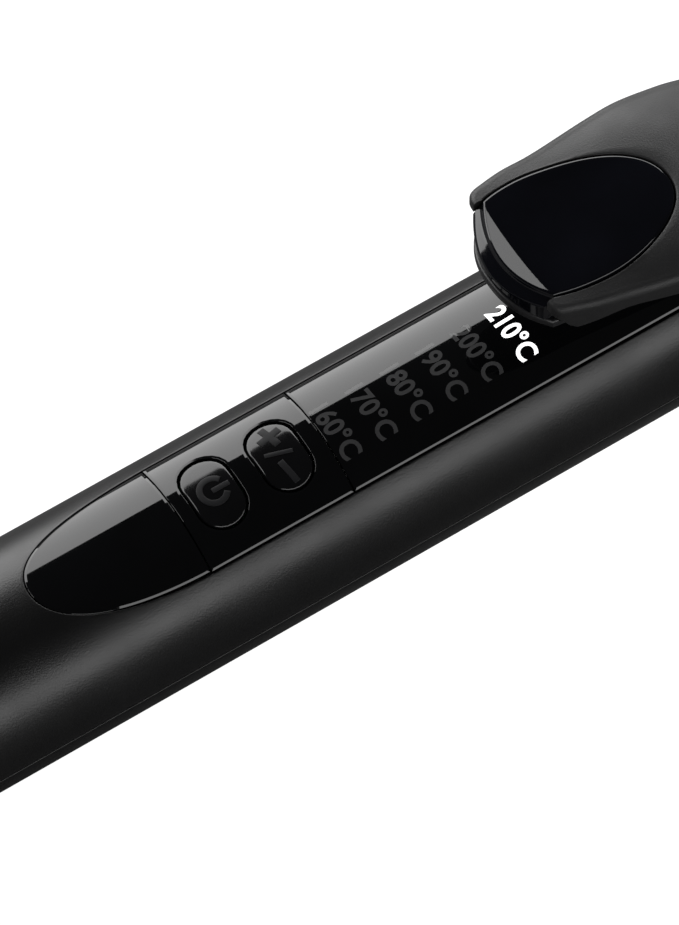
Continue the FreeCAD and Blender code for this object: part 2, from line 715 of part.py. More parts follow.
def make_cool_tip():
    plug = rod_x(BARREL_RADIUS - BARREL_WALL - 0.05, BARREL_END_X - 8, BARREL_END_X + 1)
    neck_end_x = BARREL_END_X + TIP_NECK_LENGTH
    neck = rod_x(BARREL_RADIUS, BARREL_END_X, neck_end_x)
    nose = rod_x(BARREL_RADIUS, neck_end_x - 1, TIP_END_X)
    front_edges = [e for e in nose.Edges if abs(e.BoundBox.XMin - TIP_END_X) < 0.01]
    nose = nose.makeFillet(TIP_NOSE_ROUND, [e for e in front_edges if e.BoundBox.YLength > 1])
    tip = joined([plug, neck, nose])
    tip = tip.cut(rod_x(TIP_BORE_RADIUS, BARREL_END_X - 9, neck_end_x - 2))
    tip = tip.cut(rod_x(1.3, BARREL_END_X, TIP_END_X + 1))
    return tip.cut(rod_x(2.8, TIP_END_X - 4, TIP_END_X + 1))


def make_tip_screw():
    head = rod_x(2.5, TIP_END_X - 4, TIP_END_X - 2.2)
    head = head.cut(block((TIP_END_X - 3, TIP_END_X - 2), (-1.6, 1.6), (-0.4, 0.4)))
    return joined([head, rod_x(SCREW_RADIUS, BARREL_END_X + 6, TIP_END_X - 3.5)])


# Lever and clip


def lever_plan(nose_x, inset, z0, z1):
    """Plan of the lever: a round nose widening to the cheeks that straddle the neck."""
    shoulder = (119.0, 12.1 - inset)
    waist = (140.0, 15.4 - inset)
    rear = (LEVER_END_X, CHEEK_OUTER_Y - inset)
    edges = [
        arc((*shoulder, z0), (nose_x, 0, z0), (shoulder[0], -shoulder[1], z0)),
        line((*rear, z0), (rear[0], -rear[1], z0)),
    ]
    for s in (1, -1):
        edges.append(
            bezier(
                (shoulder[0], s * shoulder[1], z0),
                (124.0, s * (13.9 - inset), z0),
                (131.0, s * (13.7 - inset), z0),
                (waist[0], s * waist[1], z0),
            )
        )
        edges.append(
            bezier(
                (waist[0], s * waist[1], z0),
                (144.0, s * rear[1], z0),
                (154.0, s * rear[1], z0),
                (170.0, s * rear[1], z0),
            )
        )
        edges.append(line((170.0, s * rear[1], z0), (rear[0], s * rear[1], z0)))
    return extrude(edges, (0, 0, z1 - z0))


def lever_beam():
    """Side view of the lever above the handle, the cheeks left out."""
    y = -FAR
    top_line = [(x, y, z) for x, z in LEVER_TOP_LINE]
    top = Part.BSplineCurve()
    top.interpolate([vec(*p) for p in top_line])
    edges = [
        top.toShape(),
        line(top_line[-1], (LEVER_END_X, y, LEVER_TAIL_SOLE_Z)),
        line((LEVER_END_X, y, LEVER_TAIL_SOLE_Z), (LEVER_TAIL_SOLE_X, y, LEVER_TAIL_SOLE_Z)),
        lever_sole(y, 0),
        nose_sole(y, 0),
        line((LEVER_START_X, y, LEVER_NOSE_SOLE_Z), top_line[0]),
    ]
    return extrude(edges, (0, 2 * FAR, 0))


def nose_sole(y, drop):
    """The curve under the thumb end, rising to the nose."""
    return bezier(
        (LEVER_BEND_X, y, LEVER_LINER_TOP_Z - drop),
        (133.0, y, LEVER_LINER_TOP_Z + 0.2 - drop),
        (124.0, y, LEVER_LINER_TOP_Z + 0.8 - drop),
        (LEVER_START_X, y, LEVER_NOSE_SOLE_Z - drop),
    )


def lever_sole(y, drop):
    """The curve under the lever from the pivot block up to the flat of the thumb end."""
    return bezier(
        (LEVER_TAIL_SOLE_X, y, LEVER_TAIL_SOLE_Z - drop),
        (164.0, y, 19.5 - drop),
        (156.0, y, LEVER_LINER_TOP_Z - 1 - drop),
        (LEVER_BEND_X, y, LEVER_LINER_TOP_Z - drop),
    )


def lever_cheek(y0, y1):
    plate = side_profile(
        [
            (CHEEK_REAR_X, 16.5),
            (CHEEK_REAR_X + 1.5, 10.0),
            (LEVER_PIVOT_X - 4, LEVER_PIVOT_Z - 6),
            (LEVER_PIVOT_X + 4, LEVER_PIVOT_Z - 6),
            (LEVER_END_X - 2, 11.0),
            (LEVER_END_X, 14.0),
        ],
        y0,
        y1,
    )
    return joined([plate, rod_y(CHEEK_RADIUS, y0, y1, LEVER_PIVOT_X, LEVER_PIVOT_Z)])


def pad_plan(grow, z0, z1):
    """Plan of the thumb pad: a shallow bow at the nose closing to a rounded point towards the barrel."""
    corner = (117.6, PAD_HALF_WIDTH - 0.4 + grow)
    end_x = PAD_END_X + grow
    edges = [arc((*corner, z0), (PAD_NOSE_X - grow, 0, z0), (corner[0], -corner[1], z0))]
    for s in (1, -1):
        edges.append(
            bezier(
                (*corner[:1], s * corner[1], z0),
                (128.0, s * (PAD_HALF_WIDTH + 2.4 + grow), z0),
                (end_x, s * (8.0 + grow), z0),
                (end_x, 0, z0),
            )
        )
    return extrude(edges, (0, 0, z1 - z0))


def make_thumb_pad():
    slab = pad_plan(0, PAD_FLOOR_Z + 0.05, FAR).common(lever_beam())
    lip = pad_plan(0, LEVER_LINER_TOP_Z, FAR).common(lever_beam())
    return joined([slab, lip.common(pad_lip_space(0))])


def pad_lip_space(grow):
    """The space at the nose where the pad runs down over the front of the frame."""
    return block((LEVER_START_X, PAD_LIP_X + grow), (-FAR, FAR), (HANDLE_RADIUS, FAR))


def make_lever_frame():
    frame = lever_plan(PAD_NOSE_X, 0, 0, FAR).common(lever_beam())
    frame = frame.cut(pad_plan(PAD_GAP, PAD_FLOOR_Z, FAR))
    frame = frame.cut(pad_plan(PAD_GAP, HANDLE_RADIUS, FAR).common(pad_lip_space(0.1)))
    cheeks = [lever_cheek(CHEEK_INNER_Y, CHEEK_OUTER_Y), lever_cheek(-CHEEK_OUTER_Y, -CHEEK_INNER_Y)]
    frame = joined([frame] + cheeks)
    frame = frame.cut(rod_y(PIN_RADIUS + RUNNING_GAP, -FAR, FAR, LEVER_PIVOT_X, LEVER_PIVOT_Z))
    for x in RIVET_XS:
        frame = frame.cut(rod_z(RIVET_HOLE_RADIUS, 10, RIVET_TOP_Z + 0.2, x))
    return frame


def make_lever_liner():
    """Cover under the thumb end: it carries the nose rim and closes the frame from below."""
    y = -FAR
    nose = (LEVER_START_X, y, LEVER_NOSE_SOLE_Z)
    tail = (LEVER_TAIL_SOLE_X, y, LEVER_TAIL_SOLE_Z)
    edges = [
        line((*nose[:2], nose[2] - LINER_THICKNESS), nose),
        nose_sole(y, 0),
        lever_sole(y, 0),
        line(tail, (*tail[:2], tail[2] - LINER_THICKNESS)),
        lever_sole(y, LINER_THICKNESS),
        nose_sole(y, LINER_THICKNESS),
    ]
    sole = extrude(edges, (0, 2 * FAR, 0)).common(block((LEVER_START_X, LINER_END_X), (-FAR, FAR), (0, FAR)))
    return lever_plan(LEVER_NOSE_X, LINER_INSET, 0, FAR).common(sole)


def make_clip_plate():
    """The spoon that closes on the barrel, with the flat tang riveted under the lever."""
    outer = CLIP_INNER_RADIUS + CLIP_THICKNESS
    shell = pipe_x(outer, CLIP_INNER_RADIUS, CLIP_X[0], CLIP_X[1])
    start_x = CLIP_X[0] - 1
    slope = math.tan(math.radians(90 - CLIP_HALF_ANGLE))
    wedge = [vec(start_x, y, abs(y) * slope) for y in (-FAR, 0, FAR)]
    wedge += [vec(start_x, FAR, 2 * FAR), vec(start_x, -FAR, 2 * FAR), wedge[0]]
    shell = shell.common(Part.Face(Part.makePolygon(wedge)).extrude(vec(CLIP_X[1] - start_x + 1, 0, 0)))
    shell = shell.cut(spoon_nose_waste())
    web_x = (CLIP_WEB_X, CLIP_X[0] + 1)
    tang_y = (-TANG_HALF_WIDTH, TANG_HALF_WIDTH)
    web = pipe_x(outer, CLIP_INNER_RADIUS, *web_x).common(block(web_x, tang_y, (9, 20)))
    tang = block((TANG_START_X, CLIP_WEB_X + 2), tang_y, (TANG_BOTTOM_Z, TANG_BOTTOM_Z + CLIP_THICKNESS))
    clip = joined([shell, web, tang])
    for x in RIVET_XS:
        clip = clip.cut(rod_z(RIVET_HOLE_RADIUS, 10, RIVET_TOP_Z, x))
    return clip


def spoon_nose_waste():
    """What is trimmed off the front of the spoon to round it in plan."""
    start = CLIP_X[1] - CLIP_NOSE_RADIUS
    square = block((start, CLIP_X[1] + 1), (-FAR, FAR), (0, FAR))
    return square.cut(rod_z(CLIP_NOSE_RADIUS, -1, FAR + 1, start))


def make_clip_rivets():
    rivets = []
    for x in RIVET_XS:
        stem = rod_z(RIVET_RADIUS, TANG_BOTTOM_Z, RIVET_TOP_Z, x)
        rivets.append(stem.fuse(rod_z(2.2, TANG_BOTTOM_Z - 0.6, TANG_BOTTOM_Z, x)))
    return group(rivets)


# Folding stand


def table_height(x):
    """Z of the table under the tool frame's x, for a tool leaning on the rear of its handle."""
    tilt = math.radians(REST_TILT_DEG)
    round_radius = rear_round_radius()
    centre_z = round_radius - HANDLE_RADIUS
    level = math.sin(tilt) * REAR_ROUND_LENGTH + math.cos(tilt) * centre_z - round_radius
    return (level - x * math.sin(tilt)) / math.cos(tilt)


def foot_block(x_reach, y_span, height_span):
    """A block lying level on the table under the stand's foot."""
    shape = block(centred(0, x_reach), y_span, height_span)
    shape.rotate(vec(0, 0, 0), vec(0, 1, 0), REST_TILT_DEG)
    shape.translate(vec(STAND_FOOT_X, 0, table_height(STAND_FOOT_X)))
    return shape


def make_folding_stand():
    plate_top = FOOT_PAD_HEIGHT + STAND_PLATE
    half = STAND_FOOT_HALF_WIDTH
    plate = foot_block(STAND_FOOT_LENGTH, (-half, half), (FOOT_PAD_HEIGHT, plate_top))
    parts = [plate]
    foot_z = table_height(STAND_FOOT_X) + plate_top - 0.5
    arm_half = STAND_ARM_WIDTH / 2
    for side in (-1, 1):
        y0, y1 = sorted((side * STAND_ARM_Y[0], side * STAND_ARM_Y[1]))
        arm = side_profile(
            [
                (STAND_PIVOT_X - arm_half, STAND_PIVOT_Z),
                (STAND_PIVOT_X + arm_half, STAND_PIVOT_Z),
                (STAND_FOOT_X + arm_half - 0.6, foot_z),
                (STAND_FOOT_X - arm_half + 0.6, foot_z),
            ],
            y0,
            y1,
        )
        parts.append(arm)
        parts.append(rod_y(arm_half, y0, y1, STAND_PIVOT_X, STAND_PIVOT_Z))
    stand = joined(parts)
    for y0, y1 in stub_spans(STAND_ARM_Y[0] - 1, STAND_ARM_Y[1] + 1):
        stand = stand.cut(rod_y(PIN_RADIUS + RUNNING_GAP, y0, y1, STAND_PIVOT_X, STAND_PIVOT_Z))
    return stand


def make_stand_foot_pads():
    pads = []
    for side in (-1, 1):
        y_span = sorted((side * (STAND_FOOT_HALF_WIDTH - 8.0), side * STAND_FOOT_HALF_WIDTH))
        pads.append(foot_block(STAND_FOOT_LENGTH, y_span, (0, FOOT_PAD_HEIGHT)))
    return group(pads)


# Cord swivel


def make_swivel_collar():
    neck = SWIVEL_NECK_RADIUS
    collar = turned(
        [
            (CORD_BORE_X[1], CORD_BORE_RADIUS),
            (CORD_BORE_X[1], 6.0),
            (REAR_WALL + 3.6, 6.0),
            (REAR_WALL + 3.6, SWIVEL_FLANGE_RADIUS),
            (REAR_WALL + 0.3, SWIVEL_FLANGE_RADIUS),
            (REAR_WALL + 0.3, neck),
            (-0.6, neck),
            (-0.6, neck + 1.2),
            (-7.0, neck + 1.0),
            (-15.0, neck - 1.0),
            (SWIVEL_END_X, neck - 2.6),
            (SWIVEL_END_X, CORD_BORE_RADIUS),
        ]
    )
    for x in GRIP_RING_XS:
        collar = collar.cut(pipe_x(12.0, 6.7, x, x + GRIP_RING_WIDTH))
    return collar


def make_contact_rings():
    inner = CORD_BORE_RADIUS + 2.4
    width, wall = CONTACT_RING_SIZE
    return group([pipe_x(inner + wall, inner, x, x + width) for x in CONTACT_RING_XS])


def make_contact_brushes():
    return group([block(BRUSH_X, centred(y, 0.4), (-1.0, 1.0)) for y in (-BRUSH_Y, BRUSH_Y)])


PIECES = {
    "upper_shell": make_upper_shell,
    "lower_shell": make_lower_shell,
    "shell_screws": make_shell_screws,
    "rear_trim": make_rear_trim,
    "button_bezel": make_button_bezel,
    "display_window": make_display_window,
    "power_button": make_power_button,
    "temperature_rocker": make_temperature_rocker,
    "rocker_cradle": make_rocker_cradle,
    "control_board": make_control_board,
    "board_screws": make_board_screws,
    "tact_switches": make_tact_switches,
    "indicator_leds": make_indicator_leds,
    "light_guide": make_light_guide,
    "triac": make_triac,
    "film_capacitor": make_film_capacitor,
    "terminal_block": make_terminal_block,
    "thermal_fuse": make_thermal_fuse,
    "supply_leads": make_supply_leads,
    "neck_block": make_neck_block,
    "lever_pivot_pin": make_lever_pivot_pin,
    "stand_pivot_pins": make_stand_pivot_pins,
    "lever_spring": make_lever_spring,
    "collar_ring": make_collar_ring,
    "barrel_sleeve": make_barrel_sleeve,
    "barrel_tube": make_barrel_tube,
    "heater_core_upper": lambda: heater_core(1),
    "heater_core_lower": lambda: heater_core(-1),
    "ptc_elements": make_ptc_elements,
    "thermistor": make_thermistor,
    "heater_leads": make_heater_leads,
    "cool_tip": make_cool_tip,
    "tip_screw": make_tip_screw,
    "lever_frame": make_lever_frame,
    "thumb_pad": make_thumb_pad,
    "lever_liner": make_lever_liner,
    "clip_plate": make_clip_plate,
    "clip_rivets": make_clip_rivets,
    "folding_stand": make_folding_stand,
    "stand_foot_pads": make_stand_foot_pads,
    "swivel_collar": make_swivel_collar,
    "contact_rings": make_contact_rings,
    "contact_brushes": make_contact_brushes,
}


def seat_on_table(shapes):
    """Lean the tool back by its rest tilt and move the bottom centre of its box to the origin."""
    for shape in shapes:
        shape.rotate(vec(0, 0, 0), vec(0, 1, 0), -REST_TILT_DEG)
    box = Part.makeCompound(shapes).optimalBoundingBox(False)
    shift = vec(-box.Center.x, -box.Center.y, -box.ZMin)
    for shape in shapes:
        shape.translate(shift)
    return shift


def main():
    os.makedirs("parts", exist_ok=True)
    shapes = {name: make() for name, make in PIECES.items()}
    shift = seat_on_table(list(shapes.values()))
    print("tool frame shifted by", shift)
    for name, shape in shapes.items():
        shape.exportStep(f"parts/{name}.step")
        print(name, "valid", shape.isValid(), "solids", len(shape.Solids), "mm3", round(shape.Volume, 1))
    return shapes, shift


main()
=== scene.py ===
"""A curling tong lying on its folding stand: its visible surfaces, its finishes and a plain studio.

Shapes are drawn in the tool frame, in millimetres. X runs along the handle axis from the handle's rear
face to the barrel tip, Z is the normal of the control panel and Y completes the frame. ToolFrame carries
them into the part's own frame, in metres.
"""

import json
import logging
import math
from contextlib import contextmanager
from dataclasses import dataclass, field
from enum import Enum
from typing import Callable, ClassVar, Iterator, Sequence

import bmesh
import bpy
from mathutils import Matrix, Vector


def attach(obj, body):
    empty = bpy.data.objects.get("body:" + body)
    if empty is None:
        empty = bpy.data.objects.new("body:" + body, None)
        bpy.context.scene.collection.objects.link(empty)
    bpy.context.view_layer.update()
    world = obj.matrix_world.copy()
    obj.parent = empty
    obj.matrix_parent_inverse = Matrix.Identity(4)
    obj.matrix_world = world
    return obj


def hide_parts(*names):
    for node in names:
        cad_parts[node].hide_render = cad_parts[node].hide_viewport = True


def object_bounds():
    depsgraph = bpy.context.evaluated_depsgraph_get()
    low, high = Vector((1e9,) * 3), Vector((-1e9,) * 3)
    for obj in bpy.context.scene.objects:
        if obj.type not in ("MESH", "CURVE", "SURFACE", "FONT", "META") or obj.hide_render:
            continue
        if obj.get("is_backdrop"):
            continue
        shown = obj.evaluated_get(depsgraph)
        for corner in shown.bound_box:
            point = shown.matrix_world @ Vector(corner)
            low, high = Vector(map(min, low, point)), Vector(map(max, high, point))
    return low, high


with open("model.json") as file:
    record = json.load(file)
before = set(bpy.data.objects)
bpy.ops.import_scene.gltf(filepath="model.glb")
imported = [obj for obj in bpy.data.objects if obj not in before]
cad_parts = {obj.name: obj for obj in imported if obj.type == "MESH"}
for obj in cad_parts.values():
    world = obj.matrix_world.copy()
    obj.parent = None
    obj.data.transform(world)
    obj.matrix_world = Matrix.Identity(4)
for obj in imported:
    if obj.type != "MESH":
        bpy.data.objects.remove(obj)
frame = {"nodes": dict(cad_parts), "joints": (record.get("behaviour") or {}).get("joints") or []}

MM = 0.001
SWIVEL_JOINT_X = -5.0
CAD_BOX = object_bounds()
FLUSH_COSINE = math.cos(math.radians(5.0))
WELD = 1e-4
SHARP_DEG = 38.0

Point2 = tuple[float, float]
Point3 = tuple[float, float, float]
Place = Callable[[float, float, float], Point3]
Edge = Sequence[Point2]
Faces = list[tuple[int, ...]]
Wire = tuple[bpy.types.Node, str | int, bpy.types.Node, str | int]

log = logging.getLogger("tong")


# ---------------------------------------------------------------- frame and small helpers


@dataclass(frozen=True)
class ToolFrame:
    """Carries tool-frame millimetres into the part's frame, in metres."""

    origin: Vector
    along: Vector
    up: Vector

    @classmethod
    def from_joint(cls, joints: Sequence[dict], name: str, joint_x: float) -> "ToolFrame":
        """Read the tool axis from a joint that turns about it.

        Args:
            joints: the part's joints.
            name: the joint about the tool axis.
            joint_x: where that joint lies along the tool, in millimetres.

        Returns:
            The tool frame.
        """
        joint = next(j for j in joints if j["name"] == name)
        along = Vector(joint["axis"]).normalized()
        origin = Vector(joint["pos_m"]) - along * joint_x * MM
        return cls(origin, along, along.cross(Vector((0.0, 1.0, 0.0))))

    def matrix(self) -> Matrix:
        """The placing matrix, from millimetres in the tool frame to metres in the part's frame."""
        turn = Matrix((self.along, Vector((0.0, 1.0, 0.0)), self.up)).transposed().to_4x4()
        return Matrix.Translation(self.origin) @ turn @ Matrix.Scale(MM, 4)

    def direction(self, x: float, y: float, z: float) -> Vector:
        """A direction in the tool frame, as a unit vector in the part's frame."""
        return (self.matrix().to_3x3() @ Vector((x, y, z))).normalized()

    def tilt(self) -> float:
        """How far the tool axis rises above the table, in radians."""
        return math.asin(self.along.z)


TOOL = ToolFrame.from_joint(frame["joints"], "cord_swivel_turn", SWIVEL_JOINT_X)


def lerp(a: float, b: float, t: float) -> float:
    """Straight-line blend of a and b."""
    return a + (b - a) * t


def smooth(low: float, high: float, x: float) -> float:
    """Smooth step from 0 at low to 1 at high."""
    t = min(1.0, max(0.0, (x - low) / (high - low)))
    return t * t * (3.0 - 2.0 * t)


def spaced(low: float, high: float, count: int) -> list[float]:
    """count + 1 even stations from low to high."""
    return [lerp(low, high, i / count) for i in range(count + 1)]


def bezier(poles: Sequence[Point2], count: int) -> list[Point2]:
    """Sample a cubic curve.

    Args:
        poles: its four poles.
        count: the number of steps.

    Returns:
        count + 1 points on the curve.
    """
    points = []
    for t in spaced(0.0, 1.0, count):
        weights = ((1 - t) ** 3, 3 * t * (1 - t) ** 2, 3 * t * t * (1 - t), t**3)
        points.append(tuple(sum(w * p[k] for w, p in zip(weights, poles)) for k in (0, 1)))
    return points


@dataclass(frozen=True)
class Profile:
    """A smooth curve z(x) through a few knots."""

    knots: tuple[Point2, ...]

    def __call__(self, x: float) -> float:
        """The height at x, held level past both ends."""
        knots = self.knots
        if x <= knots[0][0]:
            return knots[0][1]
        if x >= knots[-1][0]:
            return knots[-1][1]
        i = max(k for k in range(len(knots) - 1) if knots[k][0] <= x)
        (x0, z0), (x1, z1) = knots[i], knots[i + 1]
        span = x1 - x0
        t = (x - x0) / span
        m0, m1 = self._slope(i) * span, self._slope(i + 1) * span
        cubic = (2 * t**3 - 3 * t**2 + 1) * z0 + (t**3 - 2 * t**2 + t) * m0
        return cubic + (3 * t**2 - 2 * t**3) * z1 + (t**3 - t**2) * m1

    def _slope(self, i: int) -> float:
        """The slope at knot i, limited so that the curve never overshoots a knot."""
        knots = self.knots
        if i == 0 or i == len(knots) - 1:
            j = min(max(i, 1), len(knots) - 1)
            return (knots[j][1] - knots[j - 1][1]) / (knots[j][0] - knots[j - 1][0])
        before = (knots[i][1] - knots[i - 1][1]) / (knots[i][0] - knots[i - 1][0])
        after = (knots[i + 1][1] - knots[i][1]) / (knots[i + 1][0] - knots[i][0])
        if before * after <= 0:
            return 0.0
        return 2 * before * after / (before + after)


# ---------------------------------------------------------------- surfaces


def quads(start: int, count: int, width: int, closed_rows: bool, closed_columns: bool) -> Faces:
    """Quads over count rows of width points, the first point at index start."""
    faces = []
    for i in range(count - (0 if closed_rows else 1)):
        low, high = start + i * width, start + (i + 1) % count * width
        for j in range(width - (0 if closed_columns else 1)):
            k = (j + 1) % width
            faces.append((low + j, high + j, high + k, low + k))
    return faces


@dataclass
class Surface:
    """Points and faces of one piece, in tool-frame millimetres."""

    points: list[Point3] = field(default_factory=list)
    faces: Faces = field(default_factory=list)

    def grid(self, rows: Sequence[Sequence[Point3]], closed_rows: bool, closed_columns: bool) -> "Surface":
        """Add quads over rows of points.

        Args:
            rows: equally long rows of points.
            closed_rows: whether the last row joins the first.
            closed_columns: whether each row is a closed loop.

        Returns:
            This surface.
        """
        self.faces += quads(len(self.points), len(rows), len(rows[0]), closed_rows, closed_columns)
        for row in rows:
            self.points.extend(row)
        return self

    def cap(self, first: int, count: int) -> "Surface":
        """Close a loop of count points that starts at index first."""
        self.faces.append(tuple(range(first, first + count)))
        return self

    def add(self, other: "Surface") -> "Surface":
        """Take in another surface as loose geometry of the same piece."""
        shift = len(self.points)
        self.points.extend(other.points)
        self.faces.extend(tuple(i + shift for i in face) for face in other.faces)
        return self


def lathe(profile: Sequence[Point2], segments: int = 96) -> Surface:
    """Turn a closed profile of (x, radius) points about the tool axis, in a number of segments."""
    rows = []
    for i in range(segments):
        angle = 2 * math.pi * i / segments
        rows.append([(x, r * math.sin(angle), r * math.cos(angle)) for x, r in profile])
    return Surface().grid(rows, True, True)


def rounded_corner(
    centre: Point2, radius: float, start_deg: float, end_deg: float, steps: int
) -> list[Point2]:
    """steps + 1 points of an arc about a centre, from one angle to another."""
    return [
        (centre[0] + radius * math.cos(math.radians(a)), centre[1] + radius * math.sin(math.radians(a)))
        for a in spaced(start_deg, end_deg, steps)
    ]


@dataclass
class Pattern:
    """A flat pattern of quads in (u, v), later wrapped on a surface."""

    points: list[Point2] = field(default_factory=list)
    faces: Faces = field(default_factory=list)

    def rows(self, rows: Sequence[Sequence[Point2]], closed: bool = False) -> "Pattern":
        """Add a grid of quads over rows of points; closed joins the last row to the first."""
        self.faces += quads(len(self.points), len(rows), len(rows[0]), closed, False)
        for row in rows:
            self.points.extend(row)
        return self

    def ring(self, near: Sequence[Point2], far: Sequence[Point2], steps: Sequence[float]) -> "Pattern":
        """Fill between two closed loops of equally many points, at the given fractions of the way."""
        rows = [[(lerp(n[0], f[0], s), lerp(n[1], f[1], s)) for s in steps] for n, f in zip(near, far)]
        return self.rows(rows, closed=True)

    def welded(self) -> tuple[list[Point2], Faces]:
        """The pattern with shared points merged and every face wound the same way round."""
        index: dict[tuple[int, int], int] = {}
        points: list[Point2] = []
        remap = []
        for u, v in self.points:
            key = (round(u * 1e4), round(v * 1e4))
            if key not in index:
                index[key] = len(points)
                points.append((u, v))
            remap.append(index[key])
        faces = []
        for face in self.faces:
            loop = [remap[i] for i in face]
            loop = [k for n, k in enumerate(loop) if k != loop[n - 1]]
            if len(set(loop)) < 3:
                continue
            corners = [(points[a], points[b]) for a, b in zip(loop, loop[1:] + loop[:1])]
            area = sum(a[0] * b[1] - b[0] * a[1] for a, b in corners)
            faces.append(tuple(loop) if area > 0 else tuple(reversed(loop)))
        return points, faces


def outward(points: Sequence[Point2], faces: Faces) -> dict[int, tuple[float, float, int]]:
    """Which way the rim of a pattern faces.

    Args:
        points: the pattern's points.
        faces: its faces, all wound the same way.

    Returns:
        For each point of the rim, its outward direction (mitred at corners) and the next point along the rim.
    """
    edges = {(a, b) for face in faces for a, b in zip(face, face[1:] + face[:1])}
    following = {a: b for a, b in edges if (b, a) not in edges}
    before = {b: a for a, b in following.items()}

    def normal(a: int, b: int) -> Vector:
        """Outward normal of the rim from a to b."""
        step = Vector(points[b]) - Vector(points[a])
        return Vector((step.y, -step.x)).normalized()

    result = {}
    for here, after in following.items():
        n1, n2 = normal(before[here], here), normal(here, after)
        mitre = (n1 + n2) / max(0.6, 1.0 + n1.dot(n2))
        result[here] = (mitre.x, mitre.y, after)
    return result


def round_edge(radius: float, steps: int = 4, slope: float = 0.0) -> list[Point2]:
    """A quarter round, as (reach, drop), from a slope in radians down to the vertical."""
    return [
        (radius * (math.sin(a) - math.sin(slope)), radius * (math.cos(slope) - math.cos(a)))
        for a in spaced(slope, math.pi / 2, steps)[1:]
    ]


def chamfered_edge(width: float, drop: float, radius: float) -> list[Point2]:
    """A shallow chamfer that ends in a small quarter round."""
    start = [(0.06 * width, 0.02 * drop), (0.94 * width, 0.94 * drop), (width, drop)]
    rounding = round_edge(radius, 3, math.atan2(drop, width))
    return start + [(width + reach, drop + fall) for reach, fall in rounding]


def rimmed(pattern: Pattern, place: Place, edge: Edge, depth: float) -> Surface:
    """Wrap a pattern on a surface as a closed plate with a worked edge.

    Args:
        pattern: the flat of the plate; the edge stands outside it.
        place: where a point (u, v) lies when it is h below the surface.
        edge: steps down the edge, as (reach outwards, drop).
        depth: height of the plate.

    Returns:
        The closed plate.
    """
    points, faces = pattern.welded()
    rims = outward(points, faces)
    surface = Surface([place(u, v, 0.0) for u, v in points], list(faces))
    ring = {i: i for i in rims}
    for reach, drop in [*edge, (edge[-1][0], depth)]:
        fresh = {}
        for i, (nu, nv, _) in rims.items():
            fresh[i] = len(surface.points)
            surface.points.append(place(points[i][0] + nu * reach, points[i][1] + nv * reach, drop))
        for i, (_, _, after) in rims.items():
            surface.faces.append((ring[after], ring[i], fresh[i], fresh[after]))
        ring = fresh
    base = len(surface.points)
    surface.points.extend(place(u, v, depth) for u, v in points)
    surface.faces.extend(tuple(base + i for i in reversed(face)) for face in faces)
    for i, (_, _, after) in rims.items():
        surface.faces.append((ring[after], ring[i], base + i, base + after))
    return surface


def obround_loop(length: float, width: float, count: int) -> list[Point2]:
    """The outline of a slot shape that is long across the handle.

    Args:
        length: its length across the handle.
        width: its width along the handle.
        count: points in each of its half rounds.

    Returns:
        A closed loop of points (u along, v across), anticlockwise.
    """
    radius, reach = width / 2, (length - width) / 2
    loop = []
    for side, start in ((1, 0.0), (-1, 180.0)):
        loop.extend(rounded_corner((0.0, side * reach), radius, start, start + 180.0, count)[:-1])
        loop.append((-side * radius, side * reach))
        for k in (1, 2, 3, 4, 5):
            loop.append((-side * radius, side * reach * (1 - k / 3)))
    return loop


def shifted(loop: Sequence[Point2], u: float, v: float = 0.0) -> list[Point2]:
    """The loop moved by (u, v)."""
    return [(a + u, b + v) for a, b in loop]


def filled_loop(loop: Sequence[Point2], centre: Point2, rings: int) -> Pattern:
    """Fill a star-shaped loop with rings round its centre."""
    return Pattern().ring(loop, [centre] * len(loop), spaced(0.0, 1.0, rings))


# ---------------------------------------------------------------- finishes


class NodeGraph:
    """Short forms for building a node tree."""

    def __init__(self, tree: bpy.types.NodeTree) -> None:
        """Start the given tree afresh."""
        self.tree = tree
        tree.nodes.clear()

    def node(self, kind: str, **values: object) -> bpy.types.Node:
        """Add a node of a kind and set its inputs, named with an underscore for each space."""
        node = self.tree.nodes.new(kind)
        for name, value in values.items():
            node.inputs[name.replace("_", " ")].default_value = value
        return node

    def wire(self, *wires: Wire) -> None:
        """Join outputs to inputs, each wire as (node, output, node, input)."""
        for source, output, target, entry in wires:
            self.tree.links.new(source.outputs[output], target.inputs[entry])


class Grain(Enum):
    """How the surface of a finish is worked."""

    SPARK = "fine spark texture of a mould"
    POLISHED = "polished mould, faint handling marks"
    BRUSHED = "drawn or ground along the tool"
    SPECKLED = "sprayed coating with a faint speckle"
    WOVEN = "braided sleeve"


